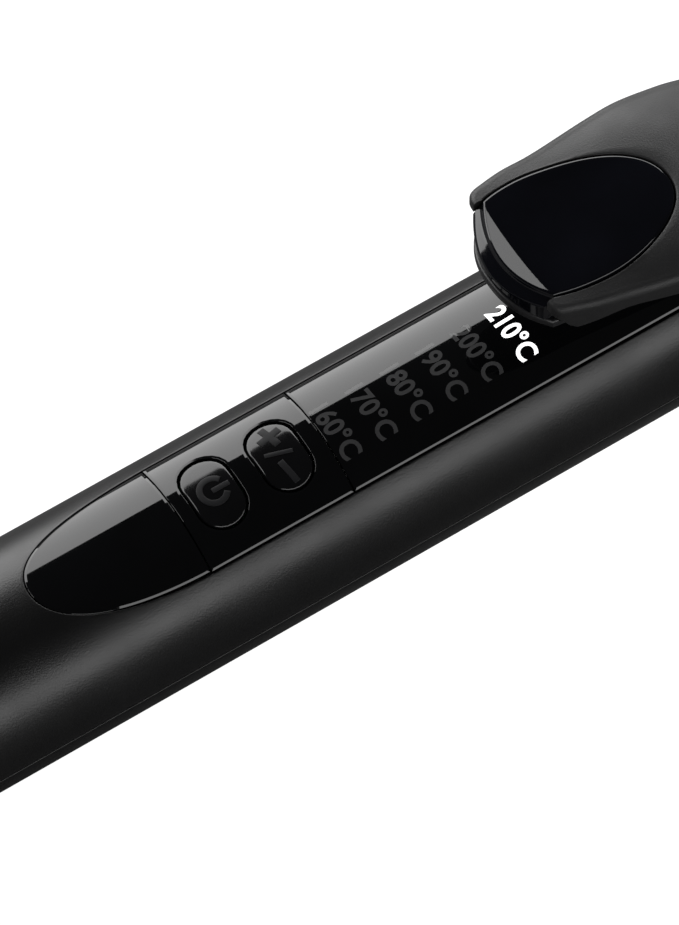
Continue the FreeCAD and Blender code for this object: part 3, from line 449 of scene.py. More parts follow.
@dataclass(frozen=True)
class Finish:
    """One finish: its colour, gloss and texture.

    Attributes:
        name: the material's name.
        colour: base colour, linear.
        grain: how the surface is worked.
        variation: how far the colour drifts, as a share of itself.
        roughness: lowest and highest roughness.
        grain_mm: size of the texture.
        bump_mm: height of the texture.
        metallic: 1 for bare metal.
        coat: strength of a clear coat.
        glow: strength of the light it gives off, in its own colour.
        specular: strength of its surface reflection; 0.5 is a plain plastic.
    """

    GLOSS_PATCH_MM: ClassVar[float] = 9.0
    COLOUR_PATCH_MM: ClassVar[float] = 14.0

    name: str
    colour: Point3
    grain: Grain = Grain.SPARK
    variation: float = 0.15
    roughness: tuple[float, float] = (0.42, 0.55)
    grain_mm: float = 0.22
    bump_mm: float = 0.012
    metallic: float = 0.0
    coat: float = 0.0
    glow: float = 0.0
    specular: float = 0.5

    def build(self) -> bpy.types.Material:
        """Build the material, or return it if it is built already."""
        known = bpy.data.materials.get(self.name)
        if known:
            return known
        material = bpy.data.materials.new(self.name)
        material.use_nodes = True
        graph = NodeGraph(material.node_tree)
        shader = graph.node("ShaderNodeBsdfPrincipled", Metallic=self.metallic, Coat_Weight=self.coat)
        shader.inputs["Specular IOR Level"].default_value = self.specular
        shader.inputs["Coat Roughness"].default_value = 0.04
        place = graph.node("ShaderNodeMapping", Rotation=(0.0, TOOL.tilt(), 0.0))
        if self.grain is Grain.BRUSHED:
            place.inputs["Scale"].default_value = (0.03, 1.0, 1.0)
        low, high = self.roughness
        wide = graph.node("ShaderNodeTexNoise", Scale=1.0 / (self.GLOSS_PATCH_MM * MM), Detail=3.0)
        spread = graph.node("ShaderNodeMapRange", From_Min=0.3, From_Max=0.7, To_Min=low, To_Max=high)
        fine, height = self._texture(graph)
        bump = graph.node("ShaderNodeBump", Strength=1.0, Distance=self.bump_mm * MM)
        graph.wire(
            (graph.node("ShaderNodeTexCoord"), "Object", place, "Vector"),
            (place, "Vector", wide, "Vector"),
            (wide, "Fac", spread, "Value"),
            (spread, "Result", shader, "Roughness"),
            (place, "Vector", fine, "Vector"),
            (fine, height, bump, "Height"),
            (bump, "Normal", shader, "Normal"),
            (shader, "BSDF", graph.node("ShaderNodeOutputMaterial"), "Surface"),
        )
        self._colour(graph, place, shader)
        return material

    def _colour(self, graph: NodeGraph, place: bpy.types.Node, shader: bpy.types.Node) -> None:
        """Drift the base colour in soft patches, and glow in it where the finish gives light."""
        patches = graph.node("ShaderNodeTexNoise", Scale=1.0 / (self.COLOUR_PATCH_MM * MM), Detail=5.0)
        ramp = graph.node("ShaderNodeValToRGB")
        for element, position, sign in zip(ramp.color_ramp.elements, (0.32, 0.68), (-1, 1)):
            element.position = position
            element.color = (*(min(1.0, c * (1 + sign * self.variation)) for c in self.colour), 1.0)
        graph.wire(
            (place, "Vector", patches, "Vector"),
            (patches, "Fac", ramp, "Fac"),
            (ramp, "Color", shader, "Base Color"),
        )
        if self.glow:
            graph.wire((ramp, "Color", shader, "Emission Color"))
            shader.inputs["Emission Strength"].default_value = self.glow

    def _texture(self, graph: NodeGraph) -> tuple[bpy.types.Node, str]:
        """The node that gives the height of the surface texture, and its output."""
        scale = 1.0 / (self.grain_mm * MM)
        if self.grain is Grain.SPECKLED:
            return graph.node("ShaderNodeTexVoronoi", Scale=scale), "Distance"
        if self.grain is Grain.WOVEN:
            return graph.node("ShaderNodeTexWave", Scale=scale, Distortion=1.5), "Fac"
        detail = 2.0 if self.grain is Grain.POLISHED else 6.0
        return graph.node("ShaderNodeTexNoise", Scale=scale, Detail=detail), "Fac"


SPARK, POLISHED, BRUSHED, SPECKLED = Grain.SPARK, Grain.POLISHED, Grain.BRUSHED, Grain.SPECKLED
SHELL = Finish("satin_shell", (0.0030, 0.0030, 0.0032), SPARK, 0.12, (0.31, 0.37), 0.28, 0.030)
LEVER_SKIN = Finish("matte_lever", (0.0090, 0.0090, 0.0094), SPARK, 0.1, (0.50, 0.60), 0.28, 0.050)
LINER = Finish("satin_liner", (0.010, 0.010, 0.011), roughness=(0.34, 0.42), bump_mm=0.006)
GLOSS = Finish("gloss_panel", (0.0016, 0.0017, 0.0020), POLISHED, 0.3, (0.035, 0.055), 6.0, 0.0015)
BUTTON = Finish("gloss_button", (0.0030, 0.0030, 0.0034), POLISHED, 0.3, (0.09, 0.14), 3.0, 0.0015)
ICON = Finish("satin_mark", (0.015, 0.015, 0.016), POLISHED, 0.1, (0.40, 0.48), 0.5, 0.002, specular=0.12)
PAD = Finish("gloss_pad", (0.0022, 0.0024, 0.0040), POLISHED, 0.3, (0.05, 0.08), 7.0, 0.0015)
HEATPROOF = Finish("heatproof_plastic", (0.018, 0.018, 0.019), roughness=(0.46, 0.58), grain_mm=0.35)
COATING = Finish(
    "ceramic_coating", (0.030, 0.031, 0.034), SPECKLED, 0.2, (0.20, 0.30), 0.28, 0.002, 0.35, 0.3
)
CLIP_COATING = Finish(
    "clip_coating", (0.042, 0.043, 0.047), SPECKLED, 0.2, (0.24, 0.34), 0.25, 0.002, 0.5, 0.2
)
STEEL = Finish("ground_steel", (0.42, 0.42, 0.43), BRUSHED, 0.1, (0.22, 0.36), 0.12, 0.002, metallic=1.0)
DARK_STEEL = Finish("black_zinc", (0.09, 0.09, 0.10), BRUSHED, 0.2, (0.3, 0.45), 0.15, 0.003, metallic=1.0)
POWDER_COAT = Finish("powder_coat", (0.020, 0.020, 0.021), SPARK, 0.15, (0.38, 0.50), 0.45, 0.03)
RUBBER = Finish("silicone_rubber", (0.018, 0.018, 0.019), roughness=(0.60, 0.75), grain_mm=0.4, bump_mm=0.01)
LEGEND_DIM = Finish("legend_unlit", (0.045, 0.045, 0.046), POLISHED, 0.06, (0.035, 0.055), 1.0, 0.0002)
LEGEND_LIT = Finish("legend_lit", (0.92, 0.92, 0.92), POLISHED, 0.02, (0.2, 0.3), 1.0, 0.0005, glow=1.0)
BOARD = Finish("solder_mask", (0.02, 0.16, 0.06), POLISHED, 0.15, (0.25, 0.4), 0.6, 0.004)
PALE_PLASTIC = Finish("pale_plastic", (0.75, 0.75, 0.73), variation=0.05, grain_mm=0.3)
GREEN_PLASTIC = Finish("green_plastic", (0.04, 0.26, 0.10), variation=0.1, grain_mm=0.3)
YELLOW_CASE = Finish("yellow_case", (0.62, 0.42, 0.07), POLISHED, 0.08, (0.2, 0.3), 1.5, 0.003)
EPOXY = Finish("clear_epoxy", (0.80, 0.79, 0.70), POLISHED, 0.05, (0.1, 0.2), 1.0, 0.002)
BROWN_PHENOLIC = Finish("phenolic", (0.16, 0.07, 0.03), variation=0.25, roughness=(0.35, 0.5), grain_mm=0.5)
ALUMINIUM = Finish("extruded_aluminium", (0.70, 0.70, 0.71), BRUSHED, 0.06, (0.28, 0.42), 0.2, 0.004, 1.0)
CERAMIC = Finish("fired_ceramic", (0.26, 0.25, 0.24), variation=0.1, roughness=(0.6, 0.75), grain_mm=0.2)
BRASS = Finish("plain_brass", (0.72, 0.50, 0.20), BRUSHED, 0.1, (0.22, 0.36), 0.15, 0.002, metallic=1.0)
RED_PVC = Finish("red_insulation", (0.30, 0.02, 0.02), variation=0.08, roughness=(0.35, 0.45), grain_mm=0.5)
GLASS_SLEEVE = Finish("braided_sleeve", (0.62, 0.60, 0.55), Grain.WOVEN, 0.1, (0.6, 0.8), 0.4, 0.05)

CAD_FINISHES = {
    "rocker_cradle": PALE_PLASTIC, "control_board": BOARD, "board_screws": STEEL, "tact_switches": STEEL,
    "indicator_leds": EPOXY, "light_guide": PALE_PLASTIC, "triac": HEATPROOF, "film_capacitor": YELLOW_CASE,
    "terminal_block": GREEN_PLASTIC, "thermal_fuse": ALUMINIUM, "supply_leads": RED_PVC,
    "lever_spring": STEEL, "barrel_sleeve": BROWN_PHENOLIC, "heater_core_upper": ALUMINIUM,
    "heater_core_lower": ALUMINIUM, "ptc_elements": CERAMIC, "thermistor": EPOXY,
    "heater_leads": GLASS_SLEEVE, "tip_screw": STEEL, "contact_rings": BRASS, "contact_brushes": BRASS,
}


# ---------------------------------------------------------------- pieces


@dataclass(frozen=True)
class Role:
    """What a piece is to the part, and how it is finished.

    Attributes:
        body: the body it moves with.
        slot: the record's material slot; not used.
        finish: its finish.
        replaces: the CAD nodes that it stands for.
        sharp_deg: faces that meet at more than this angle keep a hard edge.
    """

    body: str
    slot: str
    finish: Finish
    replaces: tuple[str, ...] = ()
    sharp_deg: float = SHARP_DEG


@contextmanager
def reworked(mesh: bpy.types.Mesh) -> Iterator[bmesh.types.BMesh]:
    """Open a mesh for editing, and write it back at the end."""
    work = bmesh.new()
    work.from_mesh(mesh)
    yield work
    work.to_mesh(mesh)
    work.free()


def linked(name: str, data: bpy.types.ID) -> bpy.types.Object:
    """A new object that holds the data, in the scene."""
    thing = bpy.data.objects.new(name, data)
    bpy.context.scene.collection.objects.link(thing)
    return thing


def evaluated_mesh(thing: bpy.types.Object) -> bpy.types.Mesh:
    """The shape of an object with its modifiers, as a plain mesh."""
    bpy.context.view_layer.update()
    depsgraph = bpy.context.evaluated_depsgraph_get()
    return bpy.data.meshes.new_from_object(thing.evaluated_get(depsgraph))


def welded_mesh(name: str, surface: Surface) -> bpy.types.Mesh:
    """A mesh of a surface, its shared points merged and its faces turned outwards."""
    mesh = bpy.data.meshes.new(name)
    mesh.from_pydata(surface.points, [], surface.faces)
    with reworked(mesh) as work:
        bmesh.ops.remove_doubles(work, verts=work.verts, dist=WELD)
        bmesh.ops.recalc_face_normals(work, faces=work.faces)
    return mesh


def make_piece(name: str, surface: Surface, role: Role) -> bpy.types.Object:
    """Turn a surface in tool-frame millimetres into a placed, dressed piece."""
    mesh = welded_mesh(name, surface)
    mesh.transform(TOOL.matrix())
    return place_piece(name, mesh, role)


def follow_round(piece: bpy.types.Object) -> None:
    """Give the faces of a piece that lie on the handle's round skin the skin's own normals.

    Args:
        piece: a piece set flush in the handle.
    """
    mesh = piece.data
    inward = TOOL.matrix().inverted()
    places = [inward @ vertex.co for vertex in mesh.vertices]
    skins = [TOOL.direction(0.0, place.y, place.z).normalized() for place in places]
    normals = []
    for face in mesh.polygons:
        for corner in face.vertices:
            flush = face.normal.dot(skins[corner]) > FLUSH_COSINE
            normals.append(skins[corner] if flush else Vector())
    mesh.normals_split_custom_set(normals)


def place_piece(name: str, mesh: bpy.types.Mesh, role: Role) -> bpy.types.Object:
    """Link a mesh that already lies in the part's frame, dress it and tie it to its body.

    Args:
        name: the piece's name.
        mesh: its mesh, in metres in the part's frame.
        role: what it is to the part.

    Returns:
        The piece's object.
    """
    mesh.shade_smooth()
    mesh.set_sharp_from_angle(angle=math.radians(role.sharp_deg))
    mesh.materials.clear()
    mesh.materials.append(role.finish.build())
    piece = linked(name, mesh)
    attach(piece, role.body)
    if role.replaces:
        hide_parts(*role.replaces)
    log.info("%s: %d faces, rides on %s", name, len(mesh.polygons), role.body)
    return piece


def softened_copy(
    name: str, node: str, body: str, slot: str, finish: Finish, bevel_mm: float = 0.3
) -> bpy.types.Object:
    """Stand a copy of a CAD node with eased edges in for it.

    Args:
        name: the piece's name.
        node: the CAD node.
        body: the body it moves with.
        slot: the record's material slot.
        finish: its finish.
        bevel_mm: how far its edges are eased.

    Returns:
        The piece's object.
    """
    flat, hard, slit = math.radians(0.6), math.radians(32.0), 2e-6
    mesh = frame["nodes"][node].data.copy()
    mesh.name = name
    with reworked(mesh) as work:
        bmesh.ops.remove_doubles(work, verts=work.verts, dist=slit)
        bmesh.ops.dissolve_limit(work, angle_limit=flat, verts=work.verts, edges=work.edges)
        edges = [e for e in work.edges if len(e.link_faces) == 2 and e.calc_face_angle(0.0) > hard]
        bmesh.ops.bevel(
            work, geom=edges, offset=bevel_mm * MM, segments=3, profile=0.6,
            affect="EDGES", clamp_overlap=True,
        )
        bmesh.ops.triangulate(work, faces=[f for f in work.faces if len(f.verts) > 4])
    return place_piece(name, mesh, Role(body, slot, finish, (node,), 30.0))


# ---------------------------------------------------------------- handle


@dataclass
class Handle:
    """The two shells of the handle and the wall round the cord swivel.

    Attributes:
        radius: of the grip.
        length: of the shells.
        rear_round: length of the rounding at the rear.
        rear_drop: how far it pulls in.
        front_round: radius of the front edge.
        seam_gap: half the gap between the shells.
        rim: rounding of the seams and of the panel's pocket.
        screw_xs: where the three shell screws sit.
        screw_seat: depth of their heads below the axis.
        recess: depth of the middle of their recesses, and its radii outside and inside.
        upper_wall: thickness of the upper shell.
        lower_wall: thickness of the lower shell.
        pocket_round: radius of the front corners of the panel's pocket.
    """

    radius: float = 16.0
    length: float = 165.0
    rear_round: float = 20.0
    rear_drop: float = 3.0
    front_round: float = 1.5
    seam_gap: float = 0.12
    rim: float = 0.16
    screw_xs: tuple[float, ...] = (28.0, 90.0, 158.5)
    screw_seat: float = 14.2
    recess: Point3 = (16.2, 2.55, 2.45)
    upper_wall: float = 1.55
    lower_wall: float = 2.4
    pocket_round: float = 1.2

    def radius_at(self, x: float) -> float:
        """Outer radius at x."""
        if x < self.rear_round:
            big = (self.rear_round**2 + self.rear_drop**2) / (2 * self.rear_drop)
            return self.radius - big + math.sqrt(big**2 - (self.rear_round - x) ** 2)
        over = x - (self.length - self.front_round)
        if over > 0:
            return self.radius - self.front_round + math.sqrt(max(0.0, self.front_round**2 - over**2))
        return self.radius

    def place(self, u: float, v: float, h: float) -> Point3:
        """The point at u along the handle and v round it from the panel's middle, h below the skin."""
        r, angle = self.radius_at(u) - h, v / self.radius
        return (u, r * math.sin(angle), r * math.cos(angle))

    def place_below(self, u: float, v: float, h: float) -> Point3:
        """The same round the underside."""
        x, y, z = self.place(u, v, h)
        return (x, -y, -z)

    def seam(self) -> float:
        """Distance round the skin from the panel's middle to the flat of a seam rim."""
        return self.radius * math.pi / 2 - self.seam_gap - self.rim

    def stations(self) -> list[float]:
        """Stations along the handle, close together where it rounds."""
        rear = [self.rim + (self.rear_round - self.rim) * t**1.4 for t in spaced(0.0, 1.0, 18)]
        middle = spaced(self.rear_round, self.length - self.front_round, 30)[1:-1]
        end = self.length - self.front_round
        front = [end + (self.front_round - self.rim) * math.sin(a) for a in spaced(0.0, math.pi / 2, 7)]
        return rear + middle + front

    def upper_shell(self, panel: "Panel") -> Surface:
        """The upper shell: a ring of skin between the panel's pocket and the seams."""
        seam, low, high = self.seam(), self.rim, self.length - self.rim
        near, far = [], []
        tip = panel.outline(panel.gap + self.rim, 44)
        corner_at = 15
        for i, point in enumerate(tip):
            near.append(point)
            if i <= corner_at:
                far.append((low, seam * i / corner_at))
            else:
                far.append((lerp(low, panel.shoulder_x, (i - corner_at) / (len(tip) - 1 - corner_at)), seam))
        side_end = panel.end_x - 1.5
        for x in spaced(panel.shoulder_x, side_end, 22)[1:]:
            near.append((x, tip[-1][1]))
            far.append((x, seam))
        reach = panel.end_x + panel.gap + self.rim
        width = tip[-1][1]
        corner = self.pocket_round
        front = rounded_corner((reach - corner, width - corner), corner, 90.0, 0.0, 5)
        front += [(reach, width * t) for t in (0.75, 0.5, 0.25, 0.0)]
        for i, point in enumerate(front):
            near.append(point)
            t = (i + 1) / len(front)
            far.append((lerp(side_end, high, t / 0.5), seam) if t <= 0.5 else (high, seam * (1 - t) / 0.5))
        near += [(u, -v) for u, v in near[-2:0:-1]]
        far += [(u, -v) for u, v in far[-2:0:-1]]
        steps = [t**1.35 for t in spaced(0.0, 1.0, 30)]
        return rimmed(Pattern().ring(near, far, steps), self.place, round_edge(self.rim), self.upper_wall)

    def lower_shell(self) -> Surface:
        """The lower shell, plain but for its rounded seams."""
        seam = self.seam()
        rows = [[(x, v) for v in spaced(-seam, seam, 48)] for x in self.stations()]
        return rimmed(Pattern().rows(rows), self.place_below, round_edge(self.rim), self.lower_wall)

    def rear_wall(self) -> Surface:
        """The wall that closes the rear of the handle round the swivel."""
        outer = self.radius - self.rear_drop - 0.25
        inner, ease = 8.6, 0.4
        return lathe([(3.4, inner), (3.4, outer), (0.35, outer), (0.3, inner + ease), (0.3 + ease, inner)])

    def build(self, panel: "Panel") -> None:
        """Make the shells, their screws and the rear wall."""
        role = ("handle", "shell_plastic", SHELL)
        make_piece("upper_casing", self.upper_shell(panel), Role(*role, ("upper_shell",)))
        lower = make_piece("lower_casing", self.lower_shell(), Role(*role, ("lower_shell",)))
        self.recess_screws(lower)
        make_piece("handle_rear_wall", self.rear_wall(), Role(*role))
        screws = ScrewSet(2.3, 1.5, tuple((x, 0.0, -self.screw_seat) for x in self.screw_xs))
        screws.build("casing_screws", Role("handle", "screw_steel", DARK_STEEL, ("shell_screws",)))

    def recess_screws(self, shell: bpy.types.Object) -> None:
        """Cut the recesses of the shell screws."""
        depth, outside, inside = self.recess
        cutter = linked("recess_cutter", bpy.data.meshes.new("recess_cutter"))
        with reworked(cutter.data) as work:
            for x in self.screw_xs:
                move = Matrix.Translation((x, 0.0, -depth))
                bmesh.ops.create_cone(
                    work, cap_ends=True, segments=40, radius1=outside, radius2=inside, depth=4.0, matrix=move
                )
        cutter.data.transform(TOOL.matrix())
        boolean = shell.modifiers.new("recesses", "BOOLEAN")
        boolean.object = cutter
        boolean.operation = "DIFFERENCE"
        boolean.solver = "EXACT"
        bake_modifiers(shell)
        bpy.data.objects.remove(cutter)


def bake_modifiers(piece: bpy.types.Object) -> None:
    """Turn a piece's modified shape into its plain mesh and drop the modifiers."""
    mesh = evaluated_mesh(piece)
    materials = list(piece.data.materials)
    piece.modifiers.clear()
    piece.data = mesh
    mesh.materials.clear()
    for material in materials:
        mesh.materials.append(material)
    mesh.shade_smooth()
    mesh.set_sharp_from_angle(angle=math.radians(SHARP_DEG))


@dataclass
class Panel:
    """The gloss panel let into the handle: rear trim, bezel, buttons, window and their markings.

    Attributes:
        handle: the handle it lies in.
        half_width: in plan.
        tip_x: the pointed rear end.
        shoulder_x: where the sides become straight.
        seam_xs: the two seams across the panel.
        end_x: the front end, under the lever.
        gap: round the panel and at its seams.
        chamfer: width, drop and radius of the plates' edges.
        power_x: middle of the power button.
        rocker_x: middle of the rocker.
        opening: length and width of the button openings.
        button: length and width of the buttons.
        mark_drop: how far the buttons lie below the panel.
        crease_deg: plates whose faces meet at more than this angle keep a hard edge.
    """

    handle: Handle
    half_width: float = 9.6
    tip_x: float = 36.5
    shoulder_x: float = 62.5
    seam_xs: tuple[float, float] = (60.5, 84.5)
    end_x: float = 150.0
    gap: float = 0.2
    chamfer: Point3 = (0.34, 0.075, 0.08)
    power_x: float = 66.7
    rocker_x: float = 77.8
    opening: Point2 = (12.6, 8.0)
    button: Point2 = (12.0, 7.4)
    mark_drop: float = 0.12
    crease_deg: float = 8.0

    @property
    def edge(self) -> list[Point3]:
        """The plates' edge."""
        return chamfered_edge(*self.chamfer)

    @property
    def rim(self) -> float:
        """How far the edge reaches out from the flat of a plate."""
        return self.edge[-1][0]

    def round_skin(self, y: float) -> float:
        """Distance round the skin for a plan distance y from the middle."""
        return self.handle.radius * math.asin(y / self.handle.radius)

    def outline(self, grow: float, count: int) -> list[Point2]:
        """One side of the pointed rear end, grown by grow, from the tip to the shoulder."""
        tip, half = self.tip_x - grow, self.half_width + grow
        poles = ((tip, 0.0), (tip, 6.2), (tip + 9.5, half), (self.shoulder_x, half))
        return [(x, self.round_skin(y)) for x, y in bezier(poles, count)]

    def plate(self, rows: Sequence[Sequence[Point2]], depth: float = 1.5) -> Surface:
        """A plate of the panel over rows of points."""
        return rimmed(Pattern().rows(rows), self.handle.place, self.edge, depth)

    def rear_trim(self) -> Surface:
        """The pointed plate behind the buttons."""
        side = self.outline(-self.rim, 60)
        last = self.seam_xs[0] - self.gap / 2 - self.rim
        side = [p for p in side if p[0] < last - 0.15]
        end_v = side[-1][1] + 0.001
        side.append((last, end_v))
        return self.plate([[(x, v * t) for t in spaced(-1.0, 1.0, 36)] for x, v in side])

    def strip(self, x0: float, x1: float, count: int) -> Surface:
        """A straight plate between two seams."""
        edge = self.round_skin(self.half_width) - self.rim
        inset = self.gap / 2 + self.rim
        rows = [[(x, v) for v in spaced(-edge, edge, 40)] for x in spaced(x0 + inset, x1 - inset, count)]
        return self.plate(rows)

    def bezel(self) -> Surface:
        """The plate with the two button openings."""
        edge = self.round_skin(self.half_width) - self.rim
        inset = self.gap / 2 + self.rim
        low, high = self.seam_xs[0] + inset, self.seam_xs[1] - inset
        middle = (self.power_x + self.rocker_x) / 2
        pattern = Pattern()
        steps = [t**1.2 for t in spaced(0.0, 1.0, 13)]
        length, width = self.opening[0] + 2 * self.rim, self.opening[1] + 2 * self.rim
        reach = (length - width) / 2
        for x, left, right in ((self.power_x, low, middle), (self.rocker_x, middle, high)):
            hole = shifted(obround_loop(length, width, 12), x)
            far = [self.cell_edge(point, x, (left, right), (reach, edge)) for point in hole]
            pattern.ring(hole, far, steps)
        return rimmed(pattern, self.handle.place, self.edge, 1.5)

    @staticmethod
    def cell_edge(point: Point2, middle: float, span: Point2, reaches: Point2) -> Point2:
        """Where the ray out from a point of a button opening meets the edge of its cell.

        Args:
            point: the point of the opening.
            middle: the opening's middle along the tool.
            span: the cell's ends along the tool.
            reaches: half the straight of the opening and half the width of the cell.

        Returns:
            The point on the edge of the cell; two of a half round's rays meet the cell's corners.
        """
        straight, edge = reaches
        du, v = point[0] - middle, point[1]
        end = span[1] if du > 0 else span[0]
        if abs(v) <= straight:
            return (end, v / straight * edge * 0.66)
        turn = math.degrees(math.atan2(abs(v) - straight, abs(du)))
        side = math.copysign(edge, v)
        if turn < 30.01:
            return (end, side * lerp(0.66, 1.0, min(1.0, turn / 30.0)))
        return (lerp(end, middle, (turn - 30.0) / 60.0), side)

    def button_cap(self, x: float) -> Surface:
        """A button's cap, flush with the panel."""
        rim = 0.45
        loop = shifted(obround_loop(self.button[0] - 2 * rim, self.button[1] - 2 * rim, 12), x)
        pattern = filled_loop(loop, (x, 0.0), 7)
        return rimmed(pattern, self.sunk(self.mark_drop), round_edge(rim), 2.4)

    def sunk(self, extra: float) -> Place:
        """The handle's placing, sunk by extra."""
        return lambda u, v, h: self.handle.place(u, v, h + extra)

    def raised(self, loops: Sequence[Pattern], height: float = 0.11) -> Surface:
        """A mark moulded on a button, from its flat parts."""
        surface = Surface()
        for pattern in loops:
            place = self.sunk(self.mark_drop - height)
            surface.add(rimmed(pattern, place, round_edge(0.1, 3), height + 0.1))
        return surface

    @staticmethod
    def bar(start: Point2, end: Point2, width: float) -> Pattern:
        """A straight stroke."""
        a, b = Vector(start), Vector(end)
        side = Vector((-(b - a).y, (b - a).x)).normalized() * width / 2
        rows = []
        for t in spaced(0.0, 1.0, 4):
            middle = a.lerp(b, t)
            rows.append([tuple(middle - side), tuple(middle), tuple(middle + side)])
        return Pattern().rows(rows)

    def power_mark(self) -> Surface:
        """A broken ring with a stem through the break."""
        x, radius, width, opening = self.power_x + 0.1, 2.0, 0.75, 36.0
        ring = []
        for a in spaced(math.radians(opening), math.radians(360.0 - opening), 48):
            radii = (radius - width / 2, radius, radius + width / 2)
            ring.append([(x + r * math.cos(a), r * math.sin(a)) for r in radii])
        stem = self.bar((x - 0.1, 0.0), (x + 2.5, 0.0), 0.6)
        return self.raised([Pattern().rows(ring), stem])

    def rocker_marks(self) -> Surface:
        """Plus at one end, minus at the other and a slash between them."""
        x, notch, middle, lean = self.rocker_x, 0.5, 3.3, 12
        arms = Pattern()
        across, along = (-notch, 0.0, notch), (notch, 1.1, 1.85)
        for angle, radii in [(90 * i + lean, along) for i in range(4)] + [(lean, across)]:
            turn = Matrix.Rotation(math.radians(angle), 2)
            arms.rows([[self.turned((x + 0.3, middle), turn, (r, t)) for t in across] for r in radii])
        slash = self.bar((x - 1.9, 0.75), (x + 1.9, -0.5), 0.45)
        minus = self.bar((x - 0.5, -1.2), (x + 0.1, -4.9), 0.8)
        return self.raised([arms, slash, minus])

    @staticmethod
    def turned(middle: Point2, turn: Matrix, point: Point2) -> Point2:
        """A point given about a middle, turned about it."""
        moved = turn @ Vector(point)
        return (middle[0] + moved.x, middle[1] + moved.y)

    def build(self) -> None:
        """Make the plates, buttons and markings."""
        window = self.strip(self.seam_xs[1], self.end_x, 60)
        for name, plate, node in (
            ("rear_trim_plate", self.rear_trim(), "rear_trim"),
            ("bezel_plate", self.bezel(), "button_bezel"),
            ("window_plate", window, "display_window"),
        ):
            role = Role("handle", "panel_gloss", GLOSS, (node,), self.crease_deg)
            follow_round(make_piece(name, plate, role))
        for body, x, cap, mark, marks in (
            ("power_button", self.power_x, "power_cap", "power_mark", self.power_mark()),
            ("temperature_rocker", self.rocker_x, "rocker_cap", "rocker_marks", self.rocker_marks()),
        ):
            make_piece(cap, self.button_cap(x), Role(body, "button_gloss", BUTTON, (body,)))
            make_piece(mark, marks, Role(body, "icon_gloss", ICON))
        Legends(self).build()


@dataclass
class Legends:
    """The temperatures behind the window, the highest one lit.

    Attributes:
        panel: the panel they lie in.
        first_x: row of the lowest temperature.
        pitch: from row to row.
        lowest: the lowest temperature.
        step: from one temperature to the next.
        count: the number of rows.
        cap_height: of the digits.
        width: of a row.
        middle_v: middle of a row round the skin.
        lean_deg: how far each row leans.
        film: how far the face and the back of the film stand above the window.
        weight: how much bolder the type is set than it is drawn.
        longest: longest edge that is left whole, in the type's own units.
    """

    panel: Panel
    first_x: float = 86.8
    pitch: float = 6.0
    lowest: int = 160
    step: int = 10
    count: int = 6
    cap_height: float = 3.5
    width: float = 9.6
    middle_v: float = -1.1
    lean_deg: float = 2.5
    film: Point2 = (0.012, 0.004)
    weight: float = 0.026
    longest: float = 0.28

    def build(self) -> None:
        """Make one piece of raised film for each row."""
        for i in range(self.count):
            lit = i == self.count - 1
            degrees = self.lowest + self.step * i
            name = f"legend_{degrees}"
            mesh = self.row_mesh(name, f"{degrees}\N{DEGREE SIGN}C", self.first_x + self.pitch * i)
            slot, finish = ("legend_lit", LEGEND_LIT) if lit else ("legend_grey", LEGEND_DIM)
            place_piece(name, mesh, Role("handle", slot, finish))

    def row_mesh(self, name: str, text: str, x: float) -> bpy.types.Mesh:
        """Set a row in type, fit it to its place and wrap it on the window.

        Args:
            name: the mesh's name.
            text: what it says.
            x: the row's middle along the tool.

        Returns:
            The mesh, in the part's frame.
        """
        curve = bpy.data.curves.new(name, "FONT")
        curve.body = text
        curve.offset = self.weight
        curve.extrude = 0.01
        curve.resolution_u = 6
        curve.space_character = 1.0
        setter = linked(name + "_type", curve)
        mesh = evaluated_mesh(setter)
        bpy.data.objects.remove(setter)
        mesh.name = name
        self.refine(mesh)
        xs = [v.co.x for v in mesh.vertices]
        ys = [v.co.y for v in mesh.vertices]
        across, tall = self.width / (max(xs) - min(xs)), self.cap_height / (max(ys) - min(ys))
        lean = math.radians(self.lean_deg)
        for vertex in mesh.vertices:
            along = (vertex.co.y - (max(ys) + min(ys)) / 2) * tall
            read = (vertex.co.x - (max(xs) + min(xs)) / 2) * across
            u = x + along * math.cos(lean) + read * math.sin(lean)
            v = self.middle_v - read * math.cos(lean) + along * math.sin(lean)
            vertex.co = self.panel.handle.place(u, v, -self.film[0 if vertex.co.z > 0 else 1])
        mesh.transform(TOOL.matrix())
        return mesh

    def refine(self, mesh: bpy.types.Mesh) -> None:
        """Split long edges so that the type follows the curve of the window."""
        with reworked(mesh) as work:
            bmesh.ops.remove_doubles(work, verts=work.verts, dist=0.1 * WELD)
            long_edges = [e for e in work.edges if e.calc_length() > self.longest]
            bmesh.ops.subdivide_edges(work, edges=long_edges, cuts=1)
            bmesh.ops.triangulate(work, faces=work.faces)
            bmesh.ops.recalc_face_normals(work, faces=work.faces)


# ---------------------------------------------------------------- repeated shapes


